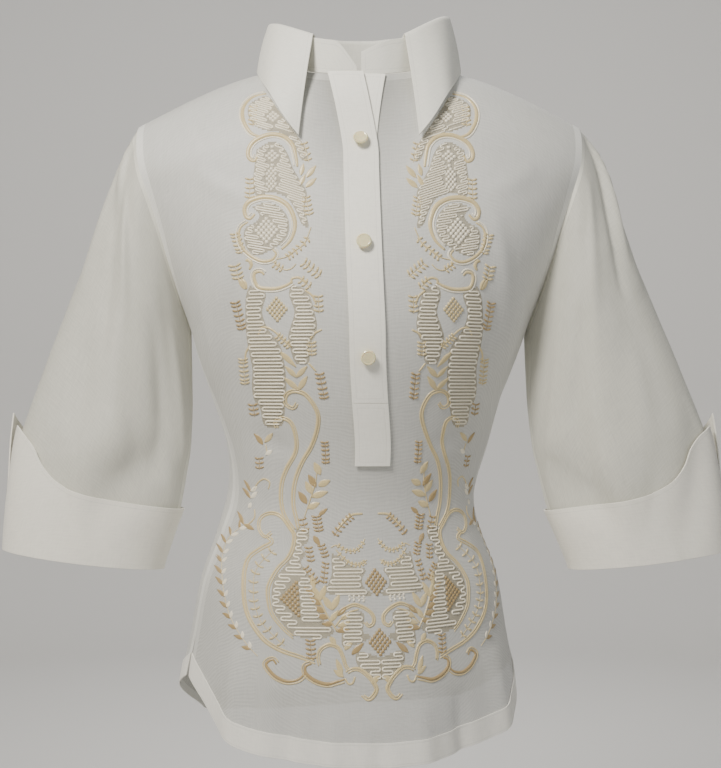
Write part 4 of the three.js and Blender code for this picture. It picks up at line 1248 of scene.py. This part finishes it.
def addChain(side):
    line = flatLine([(side * d, z) for d, z in embroidery["chain"]], 1.0)
    satinLine("beige", line, 0.7, 0.3)
    for n in range(embroidery["chainLeaves"]):
        i = int((n + 0.3) / embroidery["chainLeaves"] * (len(line) - 4))
        (x0, z0), (x1, z1) = line[i], line[i + 3]
        heading = math.atan2(z1 - z0, x1 - x0)
        for turn, tone, reach in ((0.6, "ivory", 5.2), (-0.7, "tan", 6)):
            lean = heading + math.pi + turn * side
            tip = (x0 + math.cos(lean) * reach, z0 + math.sin(lean) * reach)
            addLeaf(1, tone, (x0, z0), tip, 3.2)


rng = random.Random(7)
for side in sides:
    for tone, width, inner, points in embroidery["cords"]:
        addCord(side, tone, width, inner, points)
    for slant, pitch, outline in embroidery["meanders"]:
        addGround(side, outline)
        addMeander(side, slant, pitch, outline, rng)
    for tone, centre, width, height, half in embroidery["diamonds"]:
        if centre[0] or side > 0:
            addDiamond(side, tone, centre, width, height, half)
    for tone, length, pairs, stem in embroidery["seeds"]:
        addSeeds(side, tone, length, pairs, stem)
    for tone, base, tip, width in embroidery["leaves"]:
        addLeaf(side, tone, base, tip, width)
    addChain(side)


# rayon embroidery thread: fine bright filaments laid side by side, so satin stitch gleams
def rayonThread(name, colour):
    made, tree = newMaterial(name)
    # real strands are 0.3 mm, drawn at about 0.6 mm
    tint, strands = unevenTint(tree, colour, 0.86, 1.08, Scale=1500.0, Detail=1.0)
    bump = addNode(tree, "Bump", {"Height": strands, "Strength": 0.3, "Distance": 0.0002})
    surface = addNode(tree, "BsdfPrincipled",
                      {"Base Color": tint, "Roughness": 0.3, "IOR": 1.53,
                       "Sheen Weight": 0.15, "Normal": bump})
    addNode(tree, "OutputMaterial", {"Surface": surface})
    return made


# organza pulled open by dense stitching: beige, with painted shade for the shadow between the
# threads
def pulledGroundAndShade(name, colour):
    made, tree = newMaterial(name)
    tint, _ = unevenTint(tree, colour, 0.92, 1.05, Scale=300.0, Detail=2.0)
    surface = addNode(tree, "BsdfPrincipled",
                      {"Base Color": tint, "Roughness": 0.7, "IOR": 1.54,
                       "Specular IOR Level": 0.2, "Alpha": 0.56})
    addNode(tree, "OutputMaterial", {"Surface": surface})
    return made


# the ground sheet carries painted shade between the threads
groundAndShadeCloth = pulledGroundAndShade("stitched_organza_ground_and_painted_shade", embroidery["ground"])
embroideryPieces = [addPiece("embroidery_ground_and_painted_shade", *ground, groundAndShadeCloth)]
for tone, (points, faces) in threads.items():
    thread = rayonThread(f"rayon_satin_stitch_{tone}", embroidery["colours"][tone])
    embroideryPieces.append(addPiece(f"embroidery_{tone}", points, faces, thread))
    print("embroidery", tone, len(faces), "faces")


# buttons: the frame's own, in a better finish
buttons = {"numbers": (1, 2, 3), "colour": "#efe6b8"}
buttonFinish = pearlResin("cast_pearl_polyester_button", buttons["colour"])
for number in buttons["numbers"]:
    button = bpy.data.objects[f"button_{number}"]
    button.data.materials.clear()
    button.data.materials.append(buttonFinish)
print("buttons")


stage = {"floor": -1.1, "radius": 2.9, "wall": 3.7, "top": 2.2, "colour": "#d4d2ce"}


def addStage():
    profile = [(0.001, 0.0), (stage["radius"] * 0.5, 0.0), (stage["radius"], 0.0)]
    for i in range(1, 9):
        turn = math.pi / 2 * i / 8
        profile.append((stage["radius"] + 0.8 * math.sin(turn), 0.8 * (1 - math.cos(turn))))
    profile.append((stage["wall"], stage["top"] - stage["floor"]))
    count = 64
    points = [Vector((r * math.cos(2 * math.pi * i / count), r * math.sin(2 * math.pi * i / count),
                      stage["floor"] + z)) for r, z in profile for i in range(count)]
    faces = [(a * count + i, a * count + (i + 1) % count, (a + 1) * count + (i + 1) % count,
              (a + 1) * count + i) for a in range(len(profile) - 1) for i in range(count)]
    mesh = bpy.data.meshes.new("floor")
    mesh.from_pydata(points, [], faces)
    mesh.polygons.foreach_set("use_smooth", [True] * len(faces))
    paper, tree = newMaterial("matt_backdrop_paper")
    surface = addNode(tree, "BsdfPrincipled",
                      {"Base Color": hexColour(stage["colour"]), "Roughness": 0.9,
                       "Specular IOR Level": 0.1})
    addNode(tree, "OutputMaterial", {"Surface": surface})
    mesh.materials.append(paper)
    floor = bpy.data.objects.new("floor", mesh)
    bpy.context.scene.collection.objects.link(floor)


lights = [
    # name, place, what it points at, size, watts, colour
    ("key", (-0.75, -1.2, 0.95), (0, 0, -0.15), 0.5, 46, "#fffaf2"),
    ("fill", (1.4, -1.5, 0.3), (0, 0, -0.3), 1.2, 7, "#eef4ff"),
    ("rim", (0.3, 1.6, 1.4), (0, 0, -0.3), 1.2, 8, "#ffffff"),
    ("backdrop", (0, 1.3, 1.0), (0, 3.7, -0.6), 1.6, 40, "#ffffff"),
]


room = {"colour": "#e8ecf2", "strength": 0.24}


def addLights():
    for name, place, target, size, watts, colour in lights:
        data = bpy.data.lights.new(name, "AREA")
        data.size = size
        data.energy = watts
        data.color = hexColour(colour)[:3]
        lamp = bpy.data.objects.new(name, data)
        lamp.location = place
        lamp.rotation_mode = "QUATERNION"
        lamp.rotation_quaternion = (Vector(target) - Vector(place)).to_track_quat("-Z", "Y")
        bpy.context.scene.collection.objects.link(lamp)
    world = bpy.data.worlds.new("soft_room")
    world.use_nodes = True
    background = world.node_tree.nodes["Background"]
    background.inputs["Color"].default_value = hexColour(room["colour"])
    background.inputs["Strength"].default_value = room["strength"]
    bpy.context.scene.world = world


frontView = {"lens": 64.15, "sensor": 36, "place": (0.0014, -1.3, -0.289)}


def addCamera():
    data = bpy.data.cameras.new("front_camera")
    data.lens = frontView["lens"]
    data.sensor_width = frontView["sensor"]
    data.clip_start, data.clip_end = 0.01, 50
    camera = bpy.data.objects.new("front_camera", data)
    camera.location = frontView["place"]
    camera.rotation_euler = (math.pi / 2, 0, 0)
    bpy.context.scene.collection.objects.link(camera)
    bpy.context.scene.camera = camera


addStage()
addLights()
addCamera()
print("stage, lights and camera")


# what each piece stands for: node, slot, cut of the sheet in metres, how it is held, its area
sheets = [
    (frontPanel, "front_panel", "front_organza", (0.45, 0.64), "hung", 0.238),
    (backPanel, "back_panel", "back_organza", (0.46, 0.66), "hung", 0.260),
]
for side, word in sides.items():
    sheets += [
        (sleevePieces[side], f"sleeve_{word}", f"sleeve_{word}_organza", (0.37, 0.40), "hung",
         0.116),
        (cuffPieces[side], f"cuff_{word}", f"cuff_{word}_cloth", (0.34, 0.125), "folded", 0.038),
    ]
sheets += [
    (frontHem, "hem_front", "hem_front_cloth", (0.46, 0.022), "stretched", 0.0087),
    (backHem, "hem_back", "hem_back_cloth", (0.47, 0.022), "stretched", 0.0097),
    (standPiece, "collar_stand", "collar_stand_cloth", (0.42, 0.045), "folded", 0.0158),
    (leafPiece, "collar_leaf", "collar_leaf_cloth", (0.50, 0.115), "folded", 0.040),
    (underStrip, "placket_under", "placket_under_cloth", (0.027, 0.36), "laid", 0.0097),
    (overStrip, "placket_over", "placket_over_cloth", (0.031, 0.31), "laid", 0.0095),
    (boxStrip, "placket_box", "placket_box_cloth", (0.031, 0.06), "laid", 0.0018),
]
for piece, node, slot, flat, held, area in sheets:
    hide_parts(node)
print("sheets")
